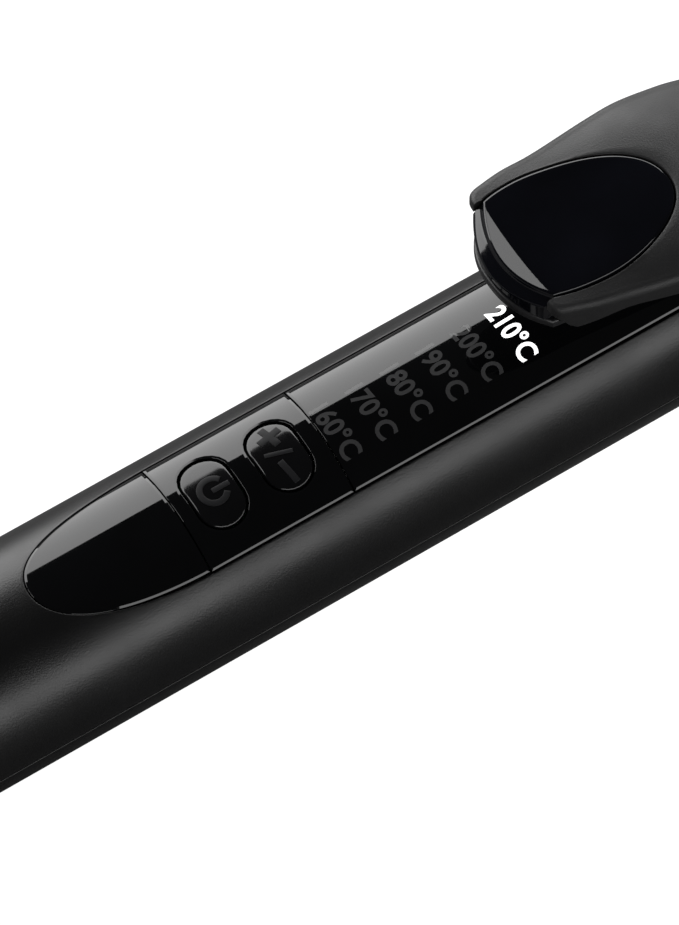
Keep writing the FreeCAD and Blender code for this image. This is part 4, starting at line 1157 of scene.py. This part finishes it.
class ShapeTree(NodeGraph):
    """A geometry node tree with named inputs, which is run once for its plain mesh."""

    def __init__(self, name: str, sockets: dict[str, str]) -> None:
        """Start the tree.

        Args:
            name: the tree's name.
            sockets: the type of each input, by its label.
        """
        super().__init__(bpy.data.node_groups.new(name, "GeometryNodeTree"))
        face = self.tree.interface
        self.keys = {
            label: face.new_socket(label, in_out="INPUT", socket_type="NodeSocket" + kind).identifier
            for label, kind in sockets.items()
        }
        face.new_socket("Geometry", in_out="OUTPUT", socket_type="NodeSocketGeometry")
        self.entry = self.node("NodeGroupInput")

    def close(self, last: bpy.types.Node, output: str, finish: Finish) -> None:
        """Realise the instances of the last node, give them their material and hand them out."""
        realize = self.node("GeometryNodeRealizeInstances")
        dress = self.node("GeometryNodeSetMaterial", Material=finish.build())
        self.wire(
            (last, output, realize, "Geometry"),
            (realize, "Geometry", dress, "Geometry"),
            (dress, "Geometry", self.node("NodeGroupOutput"), "Geometry"),
        )

    def run(
        self, name: str, values: dict[str, object], points: Sequence[Point3] = ((0, 0, 0),)
    ) -> bpy.types.Mesh:
        """Run the tree.

        Args:
            name: the mesh's name.
            values: the value of each input, by its label.
            points: the points that it starts from.

        Returns:
            The realised mesh.
        """
        seed = bpy.data.meshes.new(name + "_points")
        seed.from_pydata(list(points), [], [])
        carrier = linked(name + "_carrier", seed)
        modifier = carrier.modifiers.new("tree", "NODES")
        modifier.node_group = self.tree
        for label, value in values.items():
            modifier[self.keys[label]] = value
        mesh = evaluated_mesh(carrier)
        mesh.name = name
        bpy.data.objects.remove(carrier)
        return mesh


@dataclass
class ScrewSet:
    """Identical screw heads set by Geometry Nodes on a few points, heads down.

    Attributes:
        head_radius: of each head.
        head_height: of each head.
        places: the seat of each head in the tool frame.
    """

    head_radius: float
    head_height: float
    places: tuple[Point3, ...]

    def head(self) -> bpy.types.Object:
        """One domed head with a cross recess, pointing down, in millimetres."""
        rings, segments = 7, 32
        rows = []
        for t in spaced(0.0, 1.0, rings):
            r = self.head_radius * math.sin(t * math.pi / 2)
            z = -self.head_height * (0.45 + 0.55 * math.cos(t * math.pi / 2))
            rows.append([self.cross_point(r, 2 * math.pi * k / segments, z) for k in range(segments)])
        rows.append([(x, y, 0.0) for x, y, _ in rows[-1]])
        surface = Surface().grid(rows, False, True)
        surface.cap(len(surface.points) - segments, segments)
        return linked("screw_head", welded_mesh("screw_head", surface))

    def cross_point(self, r: float, angle: float, z: float) -> Point3:
        """A point of the head, sunk where the cross recess is."""
        x, y = r * math.cos(angle), r * math.sin(angle)
        arm, reach = 0.16 * self.head_radius, 0.62 * self.head_radius
        inside = min(abs(x), abs(y)) < arm and max(abs(x), abs(y)) < reach
        return (x, y, z + (0.55 * self.head_height if inside else 0.0))

    def build(self, name: str, role: Role) -> bpy.types.Object:
        """Instance the head on every place and keep the result as one plain piece."""
        head = self.head()
        tree = ShapeTree(name + "_set", {"Geometry": "Geometry", "Head Scale": "Float"})
        instances = tree.node("GeometryNodeInstanceOnPoints")
        tree.wire(
            (tree.entry, "Geometry", instances, "Points"),
            (tree.node("GeometryNodeObjectInfo", Object=head), "Geometry", instances, "Instance"),
            (tree.entry, "Head Scale", instances, "Scale"),
        )
        tree.close(instances, "Instances", role.finish)
        mesh = tree.run(name, {"Head Scale": 1.0}, self.places)
        bpy.data.objects.remove(head)
        mesh.transform(TOOL.matrix())
        return place_piece(name, mesh, role)


@dataclass
class RibRing:
    """Equal ribs set round the tool axis by Geometry Nodes.

    Attributes:
        x: middle of the ribs along the tool.
        radius: of the ring on which they stand.
        count: the number of ribs.
        size: of one rib along, round and out from the axis.
    """

    x: float
    radius: float
    count: int
    size: Point3

    def build(self, name: str, role: Role) -> bpy.types.Object:
        """Make the ring as one plain piece."""
        tree = ShapeTree(name + "_ring", {"Rib Count": "Int", "Ring Radius": "Float", "Rib Size": "Vector"})
        circle, shape = tree.node("GeometryNodeMeshCircle"), tree.node("GeometryNodeTransform")
        rib = tree.node("GeometryNodeMeshUVSphere", Segments=12, Rings=8, Radius=0.5)
        turn = tree.node("FunctionNodeAlignEulerToVector")
        turn.axis = "X"
        instances = tree.node("GeometryNodeInstanceOnPoints")
        tree.wire(
            (tree.entry, "Rib Count", circle, "Vertices"),
            (tree.entry, "Ring Radius", circle, "Radius"),
            (tree.entry, "Rib Size", shape, "Scale"),
            (rib, "Mesh", shape, "Geometry"),
            (tree.node("GeometryNodeInputPosition"), "Position", turn, "Vector"),
            (circle, "Mesh", instances, "Points"),
            (shape, "Geometry", instances, "Instance"),
            (turn, "Rotation", instances, "Rotation"),
        )
        tree.close(instances, "Instances", role.finish)
        along, around, out = self.size
        values = {"Rib Count": self.count, "Ring Radius": self.radius, "Rib Size": (out, around, along)}
        mesh = tree.run(name, values)
        stand_up = Matrix.Translation((self.x, 0.0, 0.0)) @ Matrix.Rotation(math.pi / 2, 4, "Y")
        mesh.transform(TOOL.matrix() @ stand_up)
        return place_piece(name, mesh, role)


# ---------------------------------------------------------------- lever


@dataclass
class Lever:
    """The sprung lever: its frame, the gloss thumb pad, the liner beneath and the pivot.

    Attributes:
        top: height of the lever's back along the tool.
        crown: how far its edges lie below its back.
        skirt: height of the lower edge of its sides, down round the cheeks.
        sole: height of its underside.
        pad_nose_x: front of the thumb pad.
        pad_end_x: rear of the thumb pad.
        pad_gap: between pad and frame.
        lip_lean: how far the foot of the pad's lip stands out at the nose.
        edge: rounding of the frame's outer edge.
        rear_x: end of the frame over the neck.
        pivot: where the pivot pin lies, along the tool and above its axis.
        pad_corner: front corner of the thumb pad, along the tool and out from its middle.
    """

    LEVEL_X: ClassVar[float] = 118.4
    WELT_X: ClassVar[float] = 168.0

    top: Profile = Profile(
        (
            (112.0, 35.5), (117.0, 36.9), (123.0, 36.3), (130.0, 35.2), (142.0, 34.2), (152.0, 31.5),
            (165.0, 25.4), (178.0, 19.7), (190.0, 16.7),
        )
    )
    crown: Profile = Profile(
        (
            (117.0, 0.5), (121.0, 0.9), (126.0, 1.4), (133.0, 2.1), (142.0, 2.8), (155.0, 3.2),
            (178.0, 2.8), (190.0, 2.0),
        )
    )
    skirt: Profile = Profile(
        (
            (116.0, 35.0), (118.0, 33.4), (119.2, 31.5), (120.4, 30.6), (123.0, 30.8), (127.0, 30.9),
            (134.0, 29.4), (143.0, 27.3), (152.0, 24.8), (160.0, 20.4), (166.6, 15.0), (168.6, 9.4),
            (172.4, 3.7), (178.0, 1.8), (183.6, 3.7), (187.6, 8.0), (190.0, 11.6),
        )
    )
    sole: Profile = Profile(
        (
            (112.0, 32.0), (116.0, 30.9), (121.0, 29.7), (127.0, 28.7), (135.0, 28.15), (143.0, 28.05),
            (149.0, 27.0), (155.6, 24.3), (161.7, 20.6), (167.0, 16.4), (170.4, 13.85), (190.0, 13.85),
        )
    )
    half_width: Profile = Profile(
        (
            (117.0, 11.7), (119.0, 12.2), (123.5, 13.2), (127.5, 13.7), (131.0, 14.2), (135.0, 14.8),
            (140.0, 15.5), (146.0, 16.2), (154.0, 16.55),
        )
    )
    pad_nose_x: float = 115.1
    pad_corner: Point2 = (118.3, 9.2)
    pad_end_x: float = 143.6
    pad_gap: float = 0.2
    lip_lean: float = 1.75
    edge: float = 1.5
    rear_x: float = 190.0
    pivot: Point2 = (178.0, 9.0)

    def pad_side(self, grow: float, count: int) -> list[Point2]:
        """One side of the pad from its front corner to its rear tip."""
        corner = (self.pad_corner[0], self.pad_corner[1] + grow)
        end = self.pad_end_x + grow
        poles = (corner, (128.0, self.pad_corner[1] + 2.6 + grow), (end, 8.0 + grow), (end, 0.0))
        return bezier(poles, count)

    def pad_front(self, grow: float, count: int) -> list[Point2]:
        """The bow of the pad's nose from its +Y corner to its middle."""
        corner_x, corner_y = self.pad_side(grow, 1)[0]
        nose = self.pad_nose_x - grow
        return [(lerp(nose, corner_x, (y / corner_y) ** 2), y) for y in spaced(corner_y, 0.0, count)]

    def outer_side(self, count: int) -> list[Point2]:
        """One side of the lever's outline, from the pad's front corner to the rear."""
        nose = bezier(((116.8, 9.5), (116.8, 11.4), (117.6, 11.9), (119.0, 12.2)), 12)
        side = [(x, self.half_width(x)) for x in spaced(nose[-1][0], self.WELT_X, 44)]
        rear = [(x, self.half_width(x)) for x in spaced(self.WELT_X, self.rear_x, count)]
        return nose[:-1] + side[:-1] + rear

    def back(self, x: float, y: float, half: float) -> float:
        """Height of the lever's back at (x, y) where its half width is half."""
        return self.top(x) - self.crown(x) * min(1.0, abs(y) / half) ** 3

    def frame(self) -> Surface:
        """The frame: closed cross-sections from the pad's gap out to the skirt, swept round the pad."""
        outer = self.outer_side(26)
        corner = len(outer) - 1
        outer += [(self.rear_x, y) for y in spaced(outer[-1][1], 0.0, 12)[1:]]
        pad_rim = self.pad_side(self.pad_gap, 600)
        half_rows = []
        for i, far in enumerate(outer):
            before, after = outer[max(0, i - 1)], outer[min(len(outer) - 1, i + 1)]
            out = Vector((before[1] - after[1], after[0] - before[0])).normalized()
            if i >= corner:
                out = Vector((1.0, 0.0 if i > corner else 1.0)).normalized()
            half_rows.append(self.section(self.foot(far, pad_rim), far, out))
        rows = half_rows + [[(x, -y, z) for x, y, z in row] for row in reversed(half_rows[:-1])]
        surface = Surface().grid(rows, False, True)
        width = len(rows[0])
        surface.cap(0, width).cap(len(surface.points) - width, width)
        return surface

    def foot(self, far: Point2, pad_rim: Sequence[Point2]) -> Point2:
        """Where on the rim of the pad the section out to far starts.

        Args:
            far: a point of the lever's outline.
            pad_rim: the side of the pad, from its front corner to its rear tip.

        Returns:
            The point of the rim.
        """
        last_x, ease = self.pad_end_x - 0.8, 26.0
        if far[0] < self.rear_x - 0.01:
            run, full = (1.0 - math.exp((116.9 - x) / ease) for x in (far[0], self.rear_x))
            reach = lerp(pad_rim[0][0], last_x, run / full)
            return next(p for p in pad_rim if p[0] >= reach)
        width = next(p for p in pad_rim if p[0] >= last_x)[1]
        return next(p for p in pad_rim if p[1] <= width * far[1] / self.half_width(self.rear_x) + 1e-6)

    def section(self, near: Point2, far: Point2, out: Vector) -> list[Point3]:
        """One closed cross-section of the frame.

        Args:
            near: its foot at the pad's gap.
            far: its foot on the outline.
            out: outward direction at far.

        Returns:
            Its points in order.
        """
        half = self.half_width(far[0])
        edge = min(self.edge, 0.42 * math.dist(near, far))
        flat = (far[0] - out.x * edge, far[1] - out.y * edge)
        step = Vector((flat[0] - near[0], flat[1] - near[1]))
        reach = step.length
        step = step / max(reach, 1e-6)
        lip = min(0.3, 0.3 * reach)
        points = [(near[0], near[1], self.sole(near[0]))]
        high = self.back(near[0], near[1], half)
        points.append((near[0], near[1], high - lip))
        for a in spaced(0.0, math.pi / 2, 3)[1:]:
            d = lip * (1 - math.cos(a))
            points.append((near[0] + step.x * d, near[1] + step.y * d, high - lip + lip * math.sin(a)))
        for t in spaced(0.0, 1.0, 16)[1:]:
            d = lip + (reach - lip) * t
            x, y = near[0] + step.x * d, near[1] + step.y * d
            points.append((x, y, self.back(x, y, half)))
        top = points[-1][2]
        for a in spaced(0.0, math.pi / 2, 7)[1:]:
            s = edge * math.sin(a)
            points.append((flat[0] + out.x * s, flat[1] + out.y * s, top - edge * (1 - math.cos(a))))
        low = min(self.skirt(far[0]), top - edge - 0.2)
        if far[0] > self.rear_x - 0.1:
            low = lerp(13.9, self.skirt(self.rear_x), smooth(12.3, 13.2, abs(far[1])))
        for t in (0.35, 0.7, 1.0):
            points.append((far[0], far[1], lerp(top - edge, low, t)))
        wall = lerp(1.8, 4.1, smooth(163.0, self.WELT_X, far[0]))
        foot = (far[0] - out.x * wall, far[1] - out.y * wall)
        points.append((foot[0], foot[1], low))
        points.append((foot[0], foot[1], min(self.sole(foot[0]), top - 1.0)))
        return points

    def pad_height(self, x: float, y: float) -> float:
        """Height of the pad: level across, with a facet that falls towards its nose."""
        crease, bow, slope, ease, sunk = 117.7, 0.7, 0.45, 0.3, 0.1
        ahead = max(0.0, crease + bow * min(1.0, (y / 9.0) ** 2) - x)
        facet = slope * (ahead - ease / 2 if ahead > ease else ahead**2 / (2 * ease))
        return self.top(max(x, self.LEVEL_X)) - sunk - 0.05 * self.crown(x) * (y / 10.0) ** 2 - facet

    def pad(self) -> Surface:
        """The gloss pad with the lip that wraps the lever's nose."""
        rim = 0.42
        side = self.pad_side(-rim, 40)
        front = self.pad_front(-rim, 14)
        half = list(reversed(front)) + side[1:]
        loop = half + [(x, -y) for x, y in reversed(half[1:-1])]
        spine = [(min(max(x, 119.5), 138.0), 0.0) for x, _ in loop]
        pattern = Pattern().ring(loop, spine, [t**1.2 for t in spaced(0.0, 1.0, 26)])
        wall = [(rim, drop) for drop in (0.7, 1.1, 1.5, 1.9, 2.1, 2.3)]
        wall += [(rim - 0.08, 2.45), (rim - 0.3, 2.6)]
        return rimmed(pattern, self.place_pad, round_edge(rim, 6) + wall, 8.0)

    def place_pad(self, u: float, v: float, h: float) -> Point3:
        """The point of the pad at (u, v), h below its surface; the lip leans out towards its foot."""
        near = smooth(121.0, self.LEVEL_X, u) * (1.0 - 0.12 * min(1.0, (v / self.pad_corner[1]) ** 2))
        x = u - self.lip_lean * smooth(0.3, 2.2, h) * near
        return (x, v, max(self.sole(x) + 0.05, self.pad_height(u, v) - h))

    def liner(self) -> Surface:
        """The cover under the lever, its rim standing out under the nose."""
        rim, inset = 0.6, 2.5
        nose_x, end_y = 113.3 + rim, 9.9 - rim
        nose = [(lerp(nose_x, 118.0, (y / end_y) ** 2.4), max(y, 0.02)) for y in spaced(0.0, end_y, 16)]
        side = [(x, self.half_width(x) - inset - rim) for x in spaced(120.0, 156.0, 26)]
        rows = [[(x, y * t) for t in spaced(-1.0, 1.0, 14)] for x, y in nose + side]
        return rimmed(Pattern().rows(rows), self.place_liner, round_edge(rim), 1.4)

    def place_liner(self, u: float, v: float, h: float) -> Point3:
        """The point of the liner at (u, v), h below its upper side."""
        return (u, v, self.sole(u) - 0.05 - h)

    def pivot_pin(self) -> Surface:
        """The pivot pin with its two domed heads."""
        dome = [(16.5, 1.45), (16.5, 2.7), (16.75, 2.75), (17.0, 2.55), (17.2, 1.9), (17.3, 0.9), (17.3, 0.0)]
        outline = [(-y, r) for y, r in reversed(dome)] + dome
        turned = lathe(outline, 40)
        x0, z0 = self.pivot
        turned.points = [(x0 + z, x, z0 + y) for x, y, z in turned.points]
        return turned

    def build(self) -> None:
        """Make the lever's pieces."""
        for name, surface, role in (
            ("lever_casing", self.frame(), ("lever", "lever_plastic", LEVER_SKIN, ("lever_frame",))),
            ("thumb_rest", self.pad(), ("lever", "pad_gloss", PAD, ("thumb_pad",))),
            ("lever_underside", self.liner(), ("lever", "liner_plastic", LINER, ("lever_liner",))),
            ("pivot_pin", self.pivot_pin(), ("handle", "pin_steel", DARK_STEEL, ("lever_pivot_pin",))),
        ):
            make_piece(name, surface, Role(*role))


# ---------------------------------------------------------------- barrel end


@dataclass
class Barrel:
    """Collar, barrel, clip, cool tip and neck.

    Attributes:
        radius: of the barrel.
        start_x: where the barrel leaves the collar.
        end_x: where the tip begins.
        tip_x: end of the tip.
        clip_inner: inner radius of the clip.
        clip_thickness: of its plate.
        clip_span: where its spoon starts and ends.
        clip_half_angle: of the spoon round the barrel, in degrees.
    """

    radius: float = 12.5
    start_x: float = 199.0
    end_x: float = 312.0
    tip_x: float = 338.0
    clip_inner: float = 12.8
    clip_thickness: float = 0.8
    clip_span: Point2 = (198.0, 308.0)
    clip_half_angle: float = 55.0

    def tube(self) -> bpy.types.Mesh:
        """The barrel's tube, swept by Geometry Nodes along its axis from a ring of its wall."""
        tree = ShapeTree("barrel_sweep", {"Length": "Float", "Radius": "Float"})
        end, line = tree.node("ShaderNodeCombineXYZ"), tree.node("GeometryNodeCurvePrimitiveLine")
        stations = tree.node("GeometryNodeResampleCurve", Count=40)
        circle = tree.node("GeometryNodeCurvePrimitiveCircle", Resolution=128)
        sweep = tree.node("GeometryNodeCurveToMesh", Fill_Caps=True)
        tree.wire(
            (tree.entry, "Length", end, "X"),
            (end, "Vector", line, "End"),
            (line, "Curve", stations, "Curve"),
            (tree.entry, "Radius", circle, "Radius"),
            (stations, "Curve", sweep, "Curve"),
            (circle, "Curve", sweep, "Profile Curve"),
        )
        tree.close(sweep, "Mesh", COATING)
        mesh = tree.run("barrel", {"Length": self.end_x - self.start_x, "Radius": self.radius})
        mesh.transform(TOOL.matrix() @ Matrix.Translation((self.start_x, 0.0, 0.0)))
        return mesh

    def clip(self) -> Surface:
        """The clip: a spoon on the barrel that narrows to the tang under the lever."""
        rim, nose, narrow = 0.34, 14.0, 7.2
        wide = (self.clip_inner + self.clip_thickness) * math.radians(self.clip_half_angle) - rim
        start, stop = self.clip_span
        low, high = start - 5.0, start + 3.0
        halves = [(x, narrow) for x in spaced(174.4, low, 12)]
        halves += [(x, lerp(narrow, wide, smooth(low, high, x))) for x in spaced(low + 0.5, high, 12)]
        halves += [(x, wide) for x in spaced(start + 4.0, stop - nose, 40)]
        for a in spaced(0.0, math.pi / 2, 18)[1:]:
            halves.append((stop - nose + (nose - rim) * math.sin(a), max(0.02, wide * math.cos(a) ** 0.9)))
        rows = [[(x, v * t) for t in spaced(-1.0, 1.0, 32)] for x, v in halves]
        return rimmed(Pattern().rows(rows), self.place_clip, round_edge(rim, 3), self.clip_thickness)

    def place_clip(self, u: float, v: float, h: float) -> Point3:
        """The point of the clip at (u, v), flat on the tang and round on the barrel."""
        outer, tang_top = self.clip_inner + self.clip_thickness, 13.8
        angle = v / outer
        bent = (u, (outer - h) * math.sin(angle), (outer - h) * math.cos(angle))
        return tuple(lerp(a, b, smooth(190.6, 194.0, u)) for a, b in zip((u, v, tang_top - h), bent))

    def tip(self) -> Surface:
        """The cool tip: a shouldered cap with a screw well in its nose."""
        r, start, end = self.radius, self.end_x, self.tip_x
        outline = [(start + 0.05, 2.0), (start + 0.05, r - 0.35)]
        outline += rounded_corner((start + 0.4, r - 0.35), 0.35, 180.0, 90.0, 4)
        for x in (start + 3.0, start + 5.2):
            outline += [(x, r), (x + 0.25, r - 0.3), (x + 0.75, r - 0.3), (x + 1.0, r)]
        outline += rounded_corner((end - 9.0, r - 9.0), 9.0, 90.0, 8.0, 20)
        outline += [(end - 0.05, 3.4), (end - 0.25, 2.9), (end - 4.0, 2.8), (end - 4.0, 1.3)]
        return lathe([*outline, (start + 12.0, 1.3)], 128)

    def collar(self) -> Surface:
        """The ring between neck and barrel."""
        r = self.radius
        outline = [(196.0, 10.5), (196.0, r - 0.3), (196.25, r - 0.05), (196.6, r), (198.3, r)]
        outline += [(198.7, r - 0.1), (199.0, r - 0.4), (199.0, 10.5)]
        return lathe(outline, 128)

    def build(self) -> None:
        """Make the barrel end."""
        softened_copy("neck", "neck_block", "handle", "neck_plastic", HEATPROOF, 0.5)
        make_piece("collar", self.collar(), Role("handle", "collar_plastic", HEATPROOF, ("collar_ring",)))
        place_piece("barrel", self.tube(), Role("handle", "barrel_coating", COATING, ("barrel_tube",)))
        make_piece("clip", self.clip(), Role("lever", "clip_coating", CLIP_COATING, ("clip_plate",)))
        softened_copy("rivets", "clip_rivets", "lever", "rivet_steel", STEEL, 0.2)
        make_piece("barrel_tip", self.tip(), Role("handle", "tip_plastic", HEATPROOF, ("cool_tip",)))


# ---------------------------------------------------------------- stand and swivel


@dataclass
class Stand:
    """The folding stand, its rubber feet and its pivots."""

    def build(self) -> None:
        """Make the stand's pieces from eased copies of the frame's own shapes."""
        softened_copy("stand", "folding_stand", "stand", "stand_steel", POWDER_COAT, 0.35)
        softened_copy("stand_feet", "stand_foot_pads", "stand", "foot_rubber", RUBBER, 0.25)
        softened_copy("stand_rivets", "stand_pivot_pins", "handle", "pin_steel", DARK_STEEL, 0.3)


@dataclass
class Swivel:
    """The turning collar at the rear, with the bore that takes the cord.

    Attributes:
        bore: radius of the cord inlet.
        end_x: its rear end.
    """

    RING: ClassVar[tuple[Point2, ...]] = (
        (0.7, -1.1), (0.35, -0.95), (0.0, -0.2), (-0.35, 0.0), (-1.3, -0.06), (-1.65, -0.25), (-2.0, -1.2),
    )

    bore: float = 3.6
    end_x: float = -22.0

    def collar(self) -> Surface:
        """The collar: a cap against the handle and a ringed snout."""
        outline = [(9.0, self.bore), (9.0, 6.0), (7.1, 6.0), (7.1, 10.5), (3.8, 10.5), (3.8, 8.45)]
        outline.append((-0.6, 8.45))
        outline += rounded_corner((-1.1, 9.1), 0.6, 30.0, 95.0, 4)
        outline += [(-3.0, 9.66), (-5.2, 9.6), (-7.2, 9.4), (-8.2, 9.0), (-8.7, 8.5)]
        for i in range(4):
            x, r = -9.6 - 2.9 * i, 8.9 - 0.62 * i
            outline += [(x + dx, r + dr) for dx, dr in self.RING]
        outline += rounded_corner((self.end_x + 0.9, 5.0), 0.9, 90.0, 180.0, 4)
        outline += [(self.end_x, self.bore + 0.5), (self.end_x + 0.5, self.bore)]
        return lathe(outline, 96)

    def build(self) -> None:
        """Make the collar and its grip ribs."""
        role = ("cord_swivel", "swivel_rubber", RUBBER)
        make_piece("cord_collar", self.collar(), Role(*role, ("swivel_collar",)))
        RibRing(-4.6, 9.5, 28, (4.4, 0.8, 0.7)).build("collar_ribs", Role(*role))


# ---------------------------------------------------------------- studio


@dataclass(frozen=True)
class Softbox:
    """A rectangular softbox.

    Attributes:
        name: its name.
        centre: its middle, in metres in the tool frame's directions from the middle of the panel.
        facing: the point it faces, likewise.
        size: its length along the tool and its height, in metres.
        radiance: its brightness.
    """

    name: str
    centre: Point3
    facing: Point3
    size: Point2
    radiance: float


@dataclass
class Studio:
    """A white sweep, long softboxes and the camera.

    Attributes:
        swing_deg: how far the camera swings back along the tool from the panel's normal.
        lean_deg: how far it leans to the tool's right.
        roll_deg: how far the tool climbs across the picture.
        distance: from the camera to what it aims at, in metres.
        aim: what it aims at, in tool-frame millimetres.
        lens: focal length for a 36 mm wide sensor.
        middle_x: middle of the panel, from which the softboxes are placed.
        reach: half the width of the sweep, in metres.
        sweep_grey: how much light the sweep throws back.
        room: brightness of the room.
        softboxes: the lights.
    """

    swing_deg: float = 14.0
    lean_deg: float = 25.0
    roll_deg: float = 29.3
    distance: float = 0.75
    aim: Point3 = (87.9, 0.25, 2.8)
    lens: float = 273.6
    middle_x: float = 85.0
    reach: float = 6.0
    sweep_grey: float = 0.22
    room: float = 0.03
    softboxes: tuple[Softbox, ...] = (
        Softbox("long_softbox", (0.3, 0.9, 0.43), (0.3, 0.0, 0.43), (2.8, 0.90), 4.0),
        Softbox("flank_softbox", (0.3, -1.1, 0.42), (0.3, 0.0, 0.42), (2.2, 0.5), 3.2),
        Softbox("nose_softbox", (-0.60, 0.50, 0.93), (0.03, 0.0, 0.03), (0.44, 0.46), 3.6),
    )

    def camera(self) -> None:
        """Set the camera."""
        swing, lean, roll = (math.radians(a) for a in (self.swing_deg, self.lean_deg, self.roll_deg))
        back = TOOL.direction(
            -math.sin(swing), -math.cos(swing) * math.sin(lean), math.cos(swing) * math.cos(lean)
        )
        along = TOOL.direction(
            math.cos(swing), -math.sin(swing) * math.sin(lean), math.sin(swing) * math.cos(lean)
        )
        across = along.cross(back)
        right = along * math.cos(roll) + across * math.sin(roll)
        up = back.cross(right)
        turn = Matrix((right, up, back)).transposed().to_4x4()
        data = bpy.data.cameras.new("camera")
        data.sensor_fit = "HORIZONTAL"
        data.sensor_width = 36.0
        data.lens = self.lens
        data.clip_start = 0.05
        data.clip_end = 20.0
        camera = linked("camera", data)
        place = TOOL.matrix() @ Vector(self.aim) + back * self.distance
        camera.matrix_world = Matrix.Translation(place) @ turn
        bpy.context.scene.camera = camera

    def softbox(self, box: Softbox) -> None:
        """Hang a softbox."""
        data = bpy.data.lights.new(box.name, "AREA")
        data.shape = "RECTANGLE"
        data.size, data.size_y = box.size
        data.energy = box.radiance * math.pi * box.size[0] * box.size[1]
        turn = TOOL.matrix().to_3x3().normalized()
        middle = TOOL.matrix() @ Vector((self.middle_x, 0.0, 0.0))
        place = middle + turn @ Vector(box.centre)
        back = (place - (middle + turn @ Vector(box.facing))).normalized()
        along = turn @ Vector((1.0, 0.0, 0.0))
        along = (along - back * along.dot(back)).normalized()
        basis = Matrix((along, back.cross(along), back)).transposed().to_4x4()
        linked(box.name, data).matrix_world = Matrix.Translation(place) @ basis

    def floor(self) -> None:
        """Lay a pale sweep that reads white to the eye and lights the tool only a little."""
        mesh = bpy.data.meshes.new("sweep")
        corners = [(x * self.reach, y * self.reach, 0.0) for x, y in ((-1, -1), (1, -1), (1, 1), (-1, 1))]
        mesh.from_pydata(corners, [], [(0, 1, 2, 3)])
        material = bpy.data.materials.new("pale_sweep")
        material.use_nodes = True
        graph = NodeGraph(material.node_tree)
        diffuse = graph.node("ShaderNodeBsdfDiffuse", Color=(*[self.sweep_grey] * 3, 1.0))
        seen, both = graph.node("ShaderNodeMixShader"), graph.node("ShaderNodeAddShader")
        graph.wire(
            (graph.node("ShaderNodeEmission", Strength=1.0), "Emission", both, 0),
            (diffuse, "BSDF", both, 1),
            (graph.node("ShaderNodeLightPath"), "Is Camera Ray", seen, "Fac"),
            (diffuse, "BSDF", seen, 1),
            (both, "Shader", seen, 2),
            (seen, "Shader", graph.node("ShaderNodeOutputMaterial"), "Surface"),
        )
        mesh.materials.append(material)
        linked("sweep", mesh)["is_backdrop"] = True

    def surroundings(self) -> None:
        """A dim, even room that reads white to the eye."""
        world = bpy.data.worlds.new("room")
        bpy.context.scene.world = world
        world.use_nodes = True
        graph = NodeGraph(world.node_tree)
        mix = graph.node("ShaderNodeMixShader")
        for entry, strength in ((1, self.room), (2, 1.0)):
            air = graph.node("ShaderNodeBackground", Strength=strength, Color=(1.0, 1.0, 1.0, 1.0))
            graph.wire((air, "Background", mix, entry))
        graph.wire(
            (graph.node("ShaderNodeLightPath"), "Is Camera Ray", mix, "Fac"),
            (mix, "Shader", graph.node("ShaderNodeOutputWorld"), "Surface"),
        )
        bpy.context.scene.view_settings.view_transform = "Standard"

    def build(self) -> None:
        """Set the studio."""
        self.camera()
        self.floor()
        self.surroundings()
        for box in self.softboxes:
            self.softbox(box)


# ---------------------------------------------------------------- assembly


def dress_cad_nodes() -> None:
    """Give every CAD node that stays its finish."""
    for node, finish in CAD_FINISHES.items():
        holder = frame["nodes"][node]
        material = finish.build()
        if not holder.material_slots:
            holder.data.materials.append(material)
        for slot in holder.material_slots:
            slot.material = material
        log.info("%s keeps its own shape, finished in %s", node, finish.name)


def main() -> None:
    """Build the tong, dress it and set the studio."""
    logging.basicConfig(level=logging.INFO, format="%(name)s: %(message)s")
    handle = Handle()
    panel = Panel(handle)
    handle.build(panel)
    panel.build()
    Lever().build()
    Barrel().build()
    Stand().build()
    Swivel().build()
    dress_cad_nodes()
    Studio().build()
    boxes = {"cad": CAD_BOX, "visual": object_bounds()}
    {k: [[float(c) for c in corner] for corner in v] for k, v in boxes.items()}


if __name__ == "__main__":
    main()
